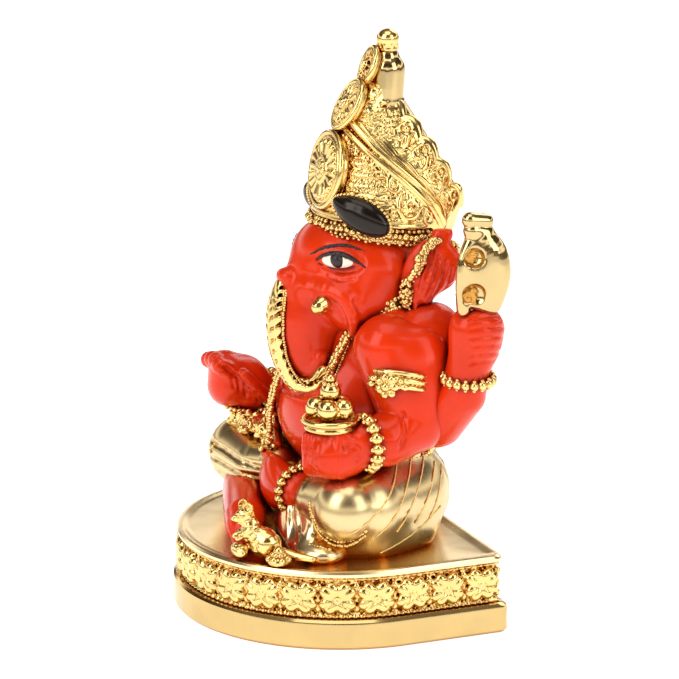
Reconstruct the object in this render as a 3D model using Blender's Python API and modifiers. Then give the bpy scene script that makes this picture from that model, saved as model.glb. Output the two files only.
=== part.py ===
"""Small seated Ganesha idol on a D-shaped plinth, gold plated with red enamel skin.

+Z is up, the figure faces -Y and its left side is +X. The origin is the middle of the plinth's underside.
Points and radii are written in millimetres and turned into metres when a mesh is made.
"""
import math

import bmesh
import bpy
from mathutils import Euler, Matrix, Vector

MM = 0.001

# Driving dimensions, in millimetres.
HEIGHT = 90.0
PLINTH_WIDTH = 53.1
PLINTH_DEPTH = 44.0
SLAB_TOP = 4.65
TIER_TOP = 12.2
GAP = 0.36
SEAT_VOXEL = 0.3
WAIST = 24.6
CROWN_BASE = 59.6
BACK = PLINTH_DEPTH / 2
CORNER_RADIUS = 1.6
FLOWERS = 19
PETAL_REACH = 2.15

# Crown sections from the brow up: height, middle y, half width, half depth.
CROWN_RINGS = (
    (CROWN_BASE, 11.0, 10.9, 9.4), (61.6, 11.0, 11.2, 9.8), (64.5, 11.0, 10.9, 9.7), (68.0, 10.9, 9.2, 8.4),
    (72.0, 10.4, 6.8, 6.7), (76.0, 10.6, 4.6, 5.0), (78.4, 11.2, 3.2, 4.0),
)

GOLD = (0.86, 0.60, 0.20, 1.0)
RED = (0.82, 0.045, 0.012, 1.0)
BLACK = (0.010, 0.008, 0.008, 1.0)
WHITE = (0.80, 0.76, 0.66, 1.0)


# Scene, materials and objects

def clear_scene():
    for item in list(bpy.data.objects):
        bpy.data.objects.remove(item, do_unlink=True)


def make_collection(name):
    collection = bpy.data.collections.new(name)
    bpy.context.scene.collection.children.link(collection)
    return collection


def make_material(name, colour, roughness, metallic):
    material = bpy.data.materials.new(name)
    material.use_nodes = True
    shader = material.node_tree.nodes["Principled BSDF"]
    shader.inputs["Base Color"].default_value = colour
    shader.inputs["Roughness"].default_value = roughness
    shader.inputs["Metallic"].default_value = metallic
    material.diffuse_color = colour
    return material


def link(name, mesh, collection):
    item = bpy.data.objects.new(name, mesh)
    collection.objects.link(item)
    return item


def add_modifier(item, kind, **settings):
    modifier = item.modifiers.new(kind.title(), kind)
    for key, value in settings.items():
        setattr(modifier, key, value)
    return modifier


def bake(item):
    """Replace an object's mesh with its evaluated mesh, so later cuts see the finished shape."""
    evaluated = item.evaluated_get(bpy.context.evaluated_depsgraph_get())
    mesh = bpy.data.meshes.new_from_object(evaluated)
    old = item.data
    item.modifiers.clear()
    item.data = mesh
    bpy.data.meshes.remove(old)
    return item


# Simple solids, each added to a bmesh in millimetres

def add_ball(bm, centre, radii, turn=(0, 0, 0), segments=20):
    spin = Euler([math.radians(angle) for angle in turn]).to_matrix().to_4x4()
    matrix = Matrix.Translation(centre) @ spin @ Matrix.Diagonal((*radii, 1.0))
    bmesh.ops.create_uvsphere(bm, u_segments=segments, v_segments=segments // 2, radius=1.0, matrix=matrix)


def add_limb(bm, stations, segments=16):
    """A chain of round cones through (point, radius) stations, with a ball at each station."""
    for point, radius in stations:
        add_ball(bm, point, (radius,) * 3, segments=segments)
    for (start, first), (end, last) in zip(stations, stations[1:]):
        start, end = Vector(start), Vector(end)
        along = end - start
        turn = along.to_track_quat("Z", "Y").to_matrix().to_4x4()
        matrix = Matrix.Translation((start + end) / 2) @ turn
        bmesh.ops.create_cone(bm, cap_ends=True, segments=segments, radius1=first, radius2=last,
                              depth=along.length, matrix=matrix)


def finish_mesh(bm, name):
    bmesh.ops.scale(bm, vec=(MM, MM, MM), verts=bm.verts)
    bmesh.ops.recalc_face_normals(bm, faces=bm.faces)
    mesh = bpy.data.meshes.new(name)
    bm.to_mesh(mesh)
    bm.free()
    return mesh


def count_triangles(item):
    return sum(len(face.vertices) - 2 for face in item.data.polygons)


def is_closed(mesh):
    bm = bmesh.new()
    bm.from_mesh(mesh)
    closed = all(len(edge.link_faces) == 2 for edge in bm.edges)
    bm.free()
    return closed


def reskin(item):
    """Wrap the item in one even skin, which clears slivers that many cuts leave."""
    add_modifier(item, "REMESH", mode="VOXEL", voxel_size=SEAT_VOXEL * MM)
    return bake(item)


def thin_out(item, budget):
    """Decimate to about `budget` triangles, with a few more where fewer would open the skin."""
    for wrapped in (False, True):
        if wrapped:
            reskin(item)
        for extra in (1.0, 1.07, 1.15, 1.25):
            modifier = add_modifier(item, "DECIMATE")
            modifier.ratio = min(1.0, budget * extra / max(1, count_triangles(item)))
            evaluated = item.evaluated_get(bpy.context.evaluated_depsgraph_get())
            if is_closed(evaluated.data):
                return bake(item)
            item.modifiers.clear()
    return item


def fuse(name, shapes, budget, voxel=0.55, smooth=4):
    """Melt balls and limbs into one skin of about `budget` triangles."""
    bm = bmesh.new()
    for kind, *values in shapes:
        if kind == "ball":
            add_ball(bm, *values)
        else:
            add_limb(bm, values[0])
    item = link(name, finish_mesh(bm, name), parts)
    add_modifier(item, "REMESH", mode="VOXEL", voxel_size=voxel * MM)
    add_modifier(item, "SMOOTH", factor=0.5, iterations=smooth)
    bake(item)
    return thin_out(item, budget)


def tube(name, stations, sides=3, cyclic=False):
    """A round rod through (point, radius) stations, with filled ends unless it closes on itself."""
    curve = bpy.data.curves.new(name, "CURVE")
    curve.dimensions = "3D"
    curve.bevel_depth = MM
    curve.bevel_resolution = sides - 2
    curve.use_fill_caps = not cyclic
    spline = curve.splines.new("POLY")
    spline.points.add(len(stations) - 1)
    spline.use_cyclic_u = cyclic
    for point, (place, radius) in zip(spline.points, stations):
        point.co = (*(Vector(place) * MM), 1.0)
        point.radius = radius
    return curve_to_mesh(name, curve)


def slab(name, outline, bottom, top, bevel=0.0):
    """A flat outline in the XY plane, filled and extruded from `bottom` to `top`."""
    curve = bpy.data.curves.new(name, "CURVE")
    curve.dimensions = "2D"
    curve.fill_mode = "BOTH"
    curve.extrude = (top - bottom) / 2 * MM
    spline = curve.splines.new("POLY")
    spline.points.add(len(outline) - 1)
    spline.use_cyclic_u = True
    for point, (x, y) in zip(spline.points, outline):
        point.co = (x * MM, y * MM, 0.0, 1.0)
    item = curve_to_mesh(name, curve)
    item.data.transform(Matrix.Translation((0, 0, (bottom + top) / 2 * MM)))
    if bevel:
        add_modifier(item, "BEVEL", width=bevel * MM, segments=2, angle_limit=math.radians(50))
        bake(item)
    return item


def curve_to_mesh(name, curve):
    source = bpy.data.objects.new(name + "_curve", curve)
    parts.objects.link(source)
    evaluated = source.evaluated_get(bpy.context.evaluated_depsgraph_get())
    mesh = bpy.data.meshes.new_from_object(evaluated)
    bpy.data.objects.remove(source, do_unlink=True)
    bm = bmesh.new()
    bm.from_mesh(mesh)
    bmesh.ops.remove_doubles(bm, verts=bm.verts, dist=0.00001)
    bmesh.ops.recalc_face_normals(bm, faces=bm.faces)
    bm.to_mesh(mesh)
    bm.free()
    return link(name, mesh, parts)


def turned(name, profile, centre, segments=12):
    """A profile of (radius, height) points, top to bottom, turned about a vertical axis."""
    bm = bmesh.new()
    corners = [bm.verts.new((radius * MM, 0, height * MM)) for radius, height in profile]
    for first, second in zip(corners, corners[1:]):
        bm.edges.new((first, second))
    mesh = bpy.data.meshes.new(name)
    bm.to_mesh(mesh)
    bm.free()
    item = link(name, mesh, parts)
    add_modifier(item, "SCREW", steps=segments, render_steps=segments, use_merge_vertices=True,
                 merge_threshold=0.00001)
    bake(item)
    item.data.transform(Matrix.Translation(Vector(centre) * MM))
    return item


def box(name, low, high):
    bm = bmesh.new()
    size = [b - a for a, b in zip(low, high)]
    middle = [(a + b) / 2 for a, b in zip(low, high)]
    matrix = Matrix.Translation(middle) @ Matrix.Diagonal((*size, 1.0))
    bmesh.ops.create_cube(bm, size=1.0, matrix=matrix)
    item = link(name, finish_mesh(bm, name), cutters)
    item.hide_render = True
    item.display_type = "WIRE"
    return item


# Joining and cutting

def combine(target, tool, operation):
    add_modifier(target, "BOOLEAN", operation=operation, solver="EXACT", object=tool)
    return bake(target)


def grown_copy(item, gap):
    """The item's shape, `gap` larger all round, as a cutter."""
    copy = link(item.name + "_seat", item.data.copy(), cutters)
    copy.hide_render = True
    copy.display_type = "WIRE"
    add_modifier(copy, "DISPLACE", strength=gap * MM, mid_level=0.0)
    reskin(copy)
    return thin_out(copy, max(260, count_triangles(item)))


def carve(target, *neighbours, gap=GAP):
    """Cut a seat for each neighbour, leaving an even gap, and keep the main body."""
    for neighbour in neighbours:
        tool = grown_copy(neighbour, gap)
        combine(target, tool, "DIFFERENCE")
        bpy.data.objects.remove(tool, do_unlink=True)
        keep_largest(target)
    return target


def keep_between(target, low, high):
    """Keep the part of the target inside a box."""
    tool = box(target.name + "_trim", low, high)
    combine(target, tool, "INTERSECT")
    bpy.data.objects.remove(tool, do_unlink=True)
    return target


def join(target, *others):
    for other in others:
        combine(target, other, "UNION")
        bpy.data.objects.remove(other, do_unlink=True)
    return target


def keep_largest(item):
    """Drop crumbs that a cut left beside the main body."""
    bm = bmesh.new()
    bm.from_mesh(item.data)
    bmesh.ops.remove_doubles(bm, verts=bm.verts, dist=0.000002)
    unseen = set(bm.verts)
    islands = []
    while unseen:
        stack = [unseen.pop()]
        island = set(stack)
        while stack:
            for edge in stack.pop().link_edges:
                for vert in edge.verts:
                    if vert in unseen:
                        unseen.discard(vert)
                        island.add(vert)
                        stack.append(vert)
        islands.append(island)
    islands.sort(key=len)
    crumbs = [vert for island in islands[:-1] for vert in island]
    bmesh.ops.delete(bm, geom=crumbs, context="VERTS")
    bm.to_mesh(item.data)
    bm.free()
    return item


# Ornament shapes

def bead_ring(name, centre, axis, radii, wire, beads):
    """A closed ring of swelling beads around `axis`."""
    turn = Vector(axis).to_track_quat("Z", "Y")
    stations = []
    for step in range(2 * beads):
        angle = math.pi * step / beads
        place = Vector((radii[0] * math.cos(angle), radii[1] * math.sin(angle), 0))
        size = wire if step % 2 == 0 else wire * 0.72
        stations.append((Vector(centre) + turn @ place, size))
    return tube(name, stations, cyclic=True)


def medallion(name, centre, axis, radius, thickness, petals):
    """A domed disc with a scalloped edge and a boss, facing along `axis`."""
    bm = bmesh.new()
    steps = 4 * petals
    rings = []
    for share, lift in ((1.0, -0.5), (1.0, 0.1), (0.72, 0.5), (0.40, 0.35), (0.30, 0.95)):
        ring = []
        for step in range(steps):
            angle = 2 * math.pi * step / steps
            scallop = 1.0 + 0.07 * abs(math.sin(petals * angle / 2)) - 0.07
            reach = radius * share * (scallop if share > 0.5 else 1.0)
            ring.append(bm.verts.new((reach * math.cos(angle), reach * math.sin(angle), thickness * lift)))
        rings.append(ring)
    for low, high in zip(rings, rings[1:]):
        for step in range(steps):
            after = (step + 1) % steps
            bm.faces.new((low[step], low[after], high[after], high[step]))
    bm.faces.new(list(reversed(rings[0])))
    bm.faces.new(rings[-1])
    turn = Vector(axis).to_track_quat("Z", "Y").to_matrix().to_4x4()
    bmesh.ops.transform(bm, matrix=Matrix.Translation(centre) @ turn, verts=bm.verts)
    return link(name, finish_mesh(bm, name), parts)


def loft(name, rings, segments=28):
    """Stacked ellipses (height, middle y, half width, half depth) joined into one solid."""
    bm = bmesh.new()
    loops = []
    for height, middle, width, depth in rings:
        loop = []
        for step in range(segments):
            angle = 2 * math.pi * step / segments
            x = width * math.cos(angle)
            y = min(middle + depth * math.sin(angle), BACK - 0.8)
            loop.append(bm.verts.new((x, y, height)))
        loops.append(loop)
    for low, high in zip(loops, loops[1:]):
        for step in range(segments):
            after = (step + 1) % segments
            bm.faces.new((low[step], low[after], high[after], high[step]))
    bm.faces.new(list(reversed(loops[0])))
    bm.faces.new(loops[-1])
    return link(name, finish_mesh(bm, name), parts)


# Plinth

def plinth_outline(inset=0.0, back_inset=None, arc_steps=26):
    """Round front, straight sides and a flat back with rounded corners, running counter-clockwise."""
    back_inset = inset if back_inset is None else back_inset
    half = PLINTH_WIDTH / 2 - inset
    middle = -PLINTH_DEPTH / 2 + PLINTH_WIDTH / 2
    rear = PLINTH_DEPTH / 2 - back_inset
    points = []
    for step in range(arc_steps + 1):
        angle = math.pi + math.pi * step / arc_steps
        points.append((half * math.cos(angle), middle + half * math.sin(angle)))
    for side, start in ((1, 0), (-1, 90)):
        for step in range(5):
            angle = math.radians(start + 22.5 * step)
            x = side * (half - CORNER_RADIUS) + CORNER_RADIUS * math.cos(angle)
            points.append((x, rear - CORNER_RADIUS + CORNER_RADIUS * math.sin(angle)))
    return points


def swept_band(name, path, profile):
    """A closed profile of (outward, height) points swept along an open plan path."""
    section = bpy.data.curves.new(name + "_section", "CURVE")
    section.dimensions = "2D"
    edge = section.splines.new("POLY")
    edge.points.add(len(profile) - 1)
    edge.use_cyclic_u = True
    for point, (outward, height) in zip(edge.points, profile):
        point.co = (outward * MM, height * MM, 0.0, 1.0)
    guide = bpy.data.objects.new(name + "_section", section)
    cutters.objects.link(guide)
    guide.hide_render = True
    curve = bpy.data.curves.new(name, "CURVE")
    curve.dimensions = "2D"
    curve.bevel_mode = "OBJECT"
    curve.bevel_object = guide
    curve.use_fill_caps = True
    spline = curve.splines.new("POLY")
    spline.points.add(len(path) - 1)
    for point, place in zip(spline.points, path):
        point.co = (place.x * MM, place.y * MM, 0.0, 1.0)
    item = curve_to_mesh(name, curve)
    bpy.data.objects.remove(guide, do_unlink=True)
    return item


def frieze_path(share, inset):
    """Point and outward direction at a share (0 to 1) of the band's length."""
    half = PLINTH_WIDTH / 2 - inset
    middle = -PLINTH_DEPTH / 2 + PLINTH_WIDTH / 2
    straight = BACK - 2.2 - middle
    total = 2 * straight + math.pi * half
    run = share * total
    if run < straight:
        return Vector((-half, middle + straight - run, 0)), Vector((-1, 0, 0))
    if run > total - straight:
        return Vector((half, middle + run - total + straight, 0)), Vector((1, 0, 0))
    angle = math.pi + (run - straight) / half
    outward = Vector((math.cos(angle), math.sin(angle), 0))
    return Vector((0, middle, 0)) + outward * half, outward


def flower(name, centre, outward):
    """A four-petal flower as a low star-shaped boss."""
    bm = bmesh.new()
    base, rim = [], []
    for step in range(8):
        angle = math.pi / 4 * (step + 0.5)
        reach = PETAL_REACH if step % 2 else 0.55 * PETAL_REACH
        place = Vector((reach * math.cos(angle), reach * math.sin(angle), 0))
        base.append(bm.verts.new(place + Vector((0, 0, -0.4))))
        rim.append(bm.verts.new(place + Vector((0, 0, 0.35))))
    tip = bm.verts.new((0, 0, 0.75))
    for step in range(8):
        after = (step + 1) % 8
        bm.faces.new((base[step], base[after], rim[after], rim[step]))
        bm.faces.new((rim[step], rim[after], tip))
    bm.faces.new(list(reversed(base)))
    turn = outward.to_track_quat("Z", "Y").to_matrix().to_4x4()
    bmesh.ops.transform(bm, matrix=Matrix.Translation(centre) @ turn, verts=bm.verts)
    return link(name, finish_mesh(bm, name), parts)


def build_plinth():
    slab("plinth_slab", plinth_outline(), 0.0, SLAB_TOP, bevel=0.7)
    tier = slab("plinth_tier", plinth_outline(2.4, 0.6), SLAB_TOP + GAP, TIER_TOP - 0.6)
    join(tier, slab("tier_top", plinth_outline(0.9, 0.6), TIER_TOP - 1.0, TIER_TOP))
    low, high = SLAB_TOP + GAP, TIER_TOP - 1.0 - GAP
    steps = 38
    path = [frieze_path(step / steps, 2.4 - GAP)[0] for step in range(steps + 1)]
    rim, field = 1.6, 1.1
    profile = ((0, low), (rim, low), (rim, low + 0.6), (field, low + 0.9), (field, high - 0.9),
               (rim, high - 0.6), (rim, high), (0, high))
    frieze = swept_band("floral_frieze", path, profile)
    for index in range(FLOWERS):
        centre, outward = frieze_path((index + 0.5) / FLOWERS, 2.4 - GAP - field)
        centre.z = (low + high) / 2
        join(frieze, flower("petals", centre, outward))
    keep_largest(frieze)


# Body

def build_torso():
    shapes = (
        ("ball", (0, 6.2, 31.0), (13.0, 11.3, 11.0)),
        ("ball", (0, 9.5, 41.5), (13.0, 8.6, 9.0)),
        ("ball", (0, 9.0, 25.0), (13.5, 9.5, 7.0)),
        ("limb", (((-11.0, 9.5, 44.0), 5.0), ((11.0, 9.5, 44.0), 5.0))),
    )
    torso = fuse("torso", shapes, 800)
    keep_between(torso, (-40, -40, WAIST), (40, BACK - 2.5, 80))


def build_legs():
    shapes = (
        ("ball", (0, 9.5, 18.0), (17.0, 11.5, 9.0)),
        ("limb", (((9.0, 10.0, 19.0), 7.6), ((15.0, 3.0, 18.8), 6.4), ((16.4, -0.9, 19.8), 5.2),
                  ((10.4, -3.2, 19.9), 3.8))),
        ("limb", (((-9.0, 10.0, 19.0), 7.6), ((-14.5, 0.0, 19.6), 6.2), ((-16.4, -6.2, 19.8), 5.0),
                  ((-11.0, -6.2, 18.8), 4.2))),
        ("ball", (0, 6.0, 15.0), (18.5, 12.0, 5.0)),
    )
    dhoti = fuse("dhoti", shapes, 1100)
    keep_between(dhoti, (-40, -40, TIER_TOP + GAP), (40, BACK - 1.8, WAIST - GAP))
    shin = (
        ("limb", (((-11.0, -7.4, 15.9), 3.4), ((-2.0, -10.8, 15.7), 3.4), ((3.0, -12.6, 15.6), 3.2))),
        ("ball", (5.6, -13.8, 15.0), (3.6, 2.8, 2.9), (0, 8, -22)),
        ("limb", (((6.5, -15.0, 13.8), 1.4), ((8.2, -15.8, 13.4), 1.1))),
    )
    lower_leg = fuse("right_lower_leg", shin, 360, voxel=0.4)
    keep_between(lower_leg, (-40, -40, TIER_TOP + GAP), (40, 40, 40))
    fuse("left_foot", (
        ("ball", (1.6, -7.0, 20.4), (5.2, 2.5, 4.4), (0, 0, -12)),
        ("limb", (((3.0, -6.0, 20.2), 3.0), ((6.6, -5.3, 20.0), 3.2))),
    ), 320, voxel=0.4)
    bead_ring("left_anklet", (6.8, -5.3, 20.1), (1.0, 0.25, 0.0), (4.1, 3.9), 1.05, 9)
    pleat = fuse("dhoti_front_pleat", (
        ("limb", (((6.0, -4.5, 15.6), 2.6), ((15.0, -5.5, 13.6), 2.0))),
        ("limb", (((7.0, -5.0, 14.5), 2.4), ((13.0, -9.8, 13.4), 1.5))),
        ("limb", (((15.0, -5.0, 13.6), 2.0), ((13.0, -9.8, 13.4), 1.5))),
        ("limb", (((15.0, -3.0, 13.6), 2.2), ((19.0, 0.5, 13.4), 1.4))),
    ), 420, voxel=0.4)
    keep_between(pleat, (-40, -40, TIER_TOP + GAP), (40, 40, 40))
    fuse("waist_sash", (
        ("limb", (((-16.5, -4.5, 24.4), 1.5), ((-12.0, -5.6, 25.2), 1.9), ((-6.0, -6.6, 24.4), 1.8),
                  ((-3.0, -6.8, 22.8), 1.3))),
        ("ball", (-9.0, -4.8, 27.0), (3.4, 2.0, 2.2)),
    ), 260, voxel=0.4)


def build_head():
    trunk = (((0, 1.5, 53.0), 5.0), ((0, -0.7, 49.5), 5.1), ((0.3, -1.8, 44.8), 4.9),
             ((0.9, -1.2, 40.6), 4.3), ((2.4, -1.6, 38.0), 3.2), ((4.6, -1.8, 37.4), 2.0))
    head = fuse("head", (
        ("ball", (0, 8.4, 53.2), (11.6, 9.2, 9.6)),
        ("ball", (0, 3.2, 55.4), (7.8, 6.0, 5.6)),
        ("ball", (6.6, 5.0, 49.2), (4.6, 5.4, 4.8)),
        ("ball", (-6.6, 5.0, 49.2), (4.6, 5.4, 4.8)),
        ("limb", trunk),
        ("limb", (((5.4, 2.0, 50.6), 2.2), ((6.6, -0.6, 49.6), 1.7))),
        ("limb", (((-5.4, 2.0, 50.6), 2.2), ((-6.6, -0.6, 49.6), 1.7))),
    ), 1100)
    keep_between(head, (-40, -40, 20), (40, BACK - 3.0, CROWN_BASE - GAP))
    strip = fuse("trunk_ornament", (("limb", [(point, radius + 0.75) for point, radius in trunk[1:]]),), 700)
    wedge = fuse("trunk_front", (
        ("limb", (((0.2, -6.3, 51.0), 1.4), ((0.2, -7.2, 46.0), 2.7), ((1.0, -6.2, 40.5), 2.7),
                  ((3.0, -4.0, 35.6), 2.3), ((6.0, -3.0, 34.0), 1.8))),
    ), 400)
    combine(strip, wedge, "INTERSECT")
    bpy.data.objects.remove(wedge, do_unlink=True)
    for side, word in ((1, "left"), (-1, "right")):
        tip = (side * 8.2, -2.6, 49.0)
        root = (side * 7.0, -0.4, 49.8)
        tube(word + "_tusk", [(root, 0.95), (tip, 0.8)], sides=4)
        fuse(word + "_eye", (
            ("ball", (side * 7.5, 1.6, 56.0), (0.8, 3.0, 1.25), (0, 0, side * -39)),
        ), 80, voxel=0.2)
    for side, word in ((1, "left"), (-1, "right")):
        fuse(word + "_ear", (
            ("ball", (side * 12.8, 12.9, 53.2), (1.4, 4.0, 5.6), (14, 0, side * -22)),
            ("ball", (side * 13.4, 12.0, 49.4), (1.2, 2.8, 3.4), (0, 0, side * -22)),
            ("ball", (side * 11.8, 11.8, 52.0), (1.6, 3.2, 4.4), (0, 0, side * -22)),
        ), 260, voxel=0.4)
        bead_ring(word + "_ear_ornament", (side * 12.9, 9.3, 52.8), (side * 1.0, -0.5, 0), (2.9, 1.3),
                  0.55, 7)


def build_crown():
    loft("crown_body", CROWN_RINGS)
    medallion("crown_front_medallion", (0, 1.9, 68.6), (0, -0.95, 0.18), 6.2, 1.5, 8)
    medallion("crown_middle_medallion", (0, 5.0, 77.6), (0, -0.90, 0.42), 3.9, 1.3, 6)
    medallion("crown_top_petal", (0, 9.0, 83.6), (0, -0.92, 0.40), 2.9, 1.0, 5)
    turned("crown_urn", ((0.0, 86.0), (1.2, 85.9), (1.4, 85.0), (2.0, 83.6), (2.4, 81.6), (2.1, 80.2),
                         (2.3, 79.4), (2.2, 78.75), (0.0, 78.75)), (0, 12.4, 0))
    turned("crown_finial", ((0.0, HEIGHT), (1.0, 89.7), (1.75, 88.6), (1.8, 87.7), (1.3, 86.7),
                            (0.9, 86.3), (0.0, 86.3)), (0, 12.4, 0))
    crown_plate()
    crown_band()
    for side, word in ((1, "left"), (-1, "right")):
        fuse("crown_gem_" + word, (
            ("ball", (side * 8.7, 4.7, 64.2), (1.5, 4.6, 2.4), (-17, 0, side * -48)),
        ), 140, voxel=0.35)


def crown_surface(height, angle):
    """A point on the crown's skin, `angle` round from the middle of its front."""
    for low, high in zip(CROWN_RINGS, CROWN_RINGS[1:]):
        if height <= high[0]:
            break
    share = (height - low[0]) / (high[0] - low[0])
    middle, width, depth = (a + (b - a) * share for a, b in zip(low[1:], high[1:]))
    return Vector((width * math.sin(angle), middle - depth * math.cos(angle), height))


def crown_plate():
    """A scalloped collar that sweeps from the crown's top down and back to both sides."""
    bm = bmesh.new()
    bmesh.ops.create_grid(bm, x_segments=44, y_segments=3, size=1.0)
    for vert in bm.verts:
        side = 1 if vert.co.x >= 0 else -1
        reach = abs(vert.co.x)
        across = (vert.co.y + 1) / 2
        ridge = crown_surface(76.6 - 14.6 * reach, math.radians(133) * reach ** 0.55)
        scallop = 0.6 * abs(math.sin(math.pi * 6.5 * reach))
        rim = Vector((11.0 * math.sin(1.35 * reach), 12.2 + 8.0 * reach, 78.6 - 14.8 * reach ** 1.1))
        rim += Vector((0.0, 0.6, 0.8)) * scallop
        point = ridge.lerp(rim, across)
        vert.co = Vector((side * point.x, point.y, point.z))
    item = link("crown_back_plate", finish_mesh(bm, "crown_back_plate"), parts)
    add_modifier(item, "SOLIDIFY", thickness=1.1 * MM, offset=0.0)
    bake(item)


def crown_band():
    stations = []
    beads = 18
    for step in range(2 * beads):
        angle = math.pi * step / beads
        size = 0.95 if step % 2 else 0.72
        place = (11.8 * math.cos(angle), 10.6 + 10.2 * math.sin(angle), CROWN_BASE + 1.1)
        stations.append((place, size))
    tube("crown_brow_band", stations, cyclic=True)


def finger_limbs(knuckles, tips, radius):
    """Four limbs side by side between two rows of points."""
    limbs = []
    for index in range(4):
        share = index / 3
        start = Vector(knuckles[0]).lerp(Vector(knuckles[1]), share)
        end = Vector(tips[0]).lerp(Vector(tips[1]), share)
        limbs.append(("limb", ((start, radius), (end, radius * 0.85))))
    return limbs


def build_arms():
    for side, word in ((1, "left"), (-1, "right")):
        shapes = [
            ("limb", (((side * 13.0, 11.5, 43.0), 4.8), ((side * 15.8, 14.2, 31.6), 4.2),
                      ((side * 20.4, 16.4, 36.8), 3.7), ((side * 21.0, 17.0, 41.5), 3.4))),
            ("ball", (side * 21.2, 17.1, 45.0), (4.0, 4.2, 5.4)),
        ]
        shapes += finger_limbs(((side * 24.4, 17.0, 41.9), (side * 24.2, 17.0, 49.0)),
                               ((side * 22.0, 13.6, 41.9), (side * 22.0, 13.8, 49.0)), 1.3)
        arm = fuse("upper_%s_arm" % word, shapes, 420)
        keep_between(arm, (-40, -40, WAIST + 0.4), (40, BACK - 0.4, 80))
    left = fuse("lower_left_arm", [
        ("limb", (((13.4, 7.0, 43.0), 5.0), ((16.2, 10.0, 31.6), 4.6), ((17.2, 5.0, 30.0), 4.2),
                  ((16.8, 1.6, 29.6), 3.6))),
        ("ball", (15.2, -2.6, 29.2), (4.0, 4.8, 3.6)),
        ("limb", (((17.8, -0.8, 30.6), 1.5), ((16.4, -3.0, 31.6), 1.2))),
    ] + finger_limbs(((18.0, -3.6, 27.0), (14.0, -6.2, 27.0)),
                     ((18.4, -4.4, 30.6), (13.6, -7.0, 30.8)), 1.25), 520)
    keep_between(left, (-40, -40, WAIST + 0.2), (40, 40, 80))
    right = fuse("lower_right_arm", [
        ("limb", (((-13.4, 7.0, 43.0), 5.0), ((-17.4, 8.6, 31.6), 4.6), ((-16.4, 3.0, 29.4), 3.8),
                  ((-15.4, -2.2, 30.0), 3.4))),
        ("ball", (-15.0, -5.6, 32.4), (4.1, 3.4, 5.0), (35, 0, 0)),
        ("limb", (((-12.4, -4.8, 31.6), 1.5), ((-11.8, -7.6, 34.0), 1.1))),
    ] + finger_limbs(((-12.6, -7.2, 34.4), (-17.4, -6.8, 34.2)),
                     ((-12.9, -10.8, 36.6), (-17.0, -10.4, 36.4)), 1.8), 520)
    keep_between(right, (-40, -40, WAIST + 0.2), (40, 40, 80))
    rings = (
        ("lower_left_bangle", (17.0, 2.0, 29.8), (0.05, -1, -0.05), 4.2, 0.85),
        ("lower_right_bangle", (-15.6, -2.6, 30.0), (0.1, -0.85, 0.5), 4.1, 0.85),
        ("upper_left_bangle", (20.9, 16.8, 39.4), (0.1, 0, 1), 4.2, 0.85),
        ("upper_right_bangle", (-20.9, 16.8, 39.4), (-0.1, 0, 1), 4.2, 0.85),
        ("left_armlet", (14.8, 8.2, 38.6), (0.2, 0.3, -1), 5.1, 0.8),
        ("right_armlet", (-15.2, 7.6, 38.6), (-0.25, 0.1, -1), 5.1, 0.8),
    )
    for name, centre, axis, radius, wire in rings:
        bead_ring(name, centre, axis, (radius, radius), wire, 9)


# Held objects, cords and the mouse

def build_held_objects():
    fuse("noose", (
        ("limb", (((23.0, 15.4, 53.4), 1.4), ((23.4, 14.8, 57.0), 1.5), ((23.2, 16.2, 60.4), 1.5),
                  ((22.9, 18.4, 61.4), 1.6), ((22.9, 20.2, 59.6), 1.7), ((23.0, 20.1, 55.6), 1.8),
                  ((23.0, 19.4, 52.0), 1.7), ((23.0, 17.4, 50.6), 1.5), ((23.0, 15.4, 53.4), 1.4))),
        ("limb", (((23.2, 15.4, 55.6), 1.1), ((23.0, 19.6, 55.9), 1.3))),
        ("limb", (((22.9, 18.3, 62.0), 1.7), ((22.9, 18.4, 63.6), 1.5))),
    ), 520, voxel=0.4, smooth=2)
    fuse("goad", (
        ("limb", (((-22.6, 17.4, 50.4), 1.2), ((-22.8, 17.6, 63.4), 1.1))),
        ("limb", (((-22.8, 17.4, 60.0), 1.1), ((-23.4, 14.4, 59.0), 1.0), ((-23.4, 13.2, 56.4), 0.8))),
        ("ball", (-22.8, 17.6, 63.6), (1.4, 1.4, 1.7)),
    ), 300, voxel=0.35, smooth=2)
    bowl = turned("sweet_bowl", ((0.0, 33.1), (2.9, 33.1), (3.4, 33.7), (4.0, 33.8), (4.2, 33.4), (3.9, 32.6),
                                 (2.9, 31.4), (1.6, 30.8), (0.0, 30.8)), (14.6, -2.9, 0), segments=16)
    heap = [("ball", (14.6, -2.9, 35.3), (2.5, 2.5, 1.8)), ("ball", (14.4, -3.0, 38.1), (1.7, 1.7, 1.5))]
    for step in range(5):
        angle = 2 * math.pi * (step + 0.3) / 5
        place = (14.6 + 2.1 * math.cos(angle), -2.9 + 2.1 * math.sin(angle), 35.6)
        heap.append(("ball", place, (1.35, 1.35, 1.35)))
    sweets = fuse("sweets", heap, 420, voxel=0.3, smooth=1)
    keep_between(sweets, (-40, -40, 33.1 + GAP), (40, 40, 60))
    carve(sweets, bowl)


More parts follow.
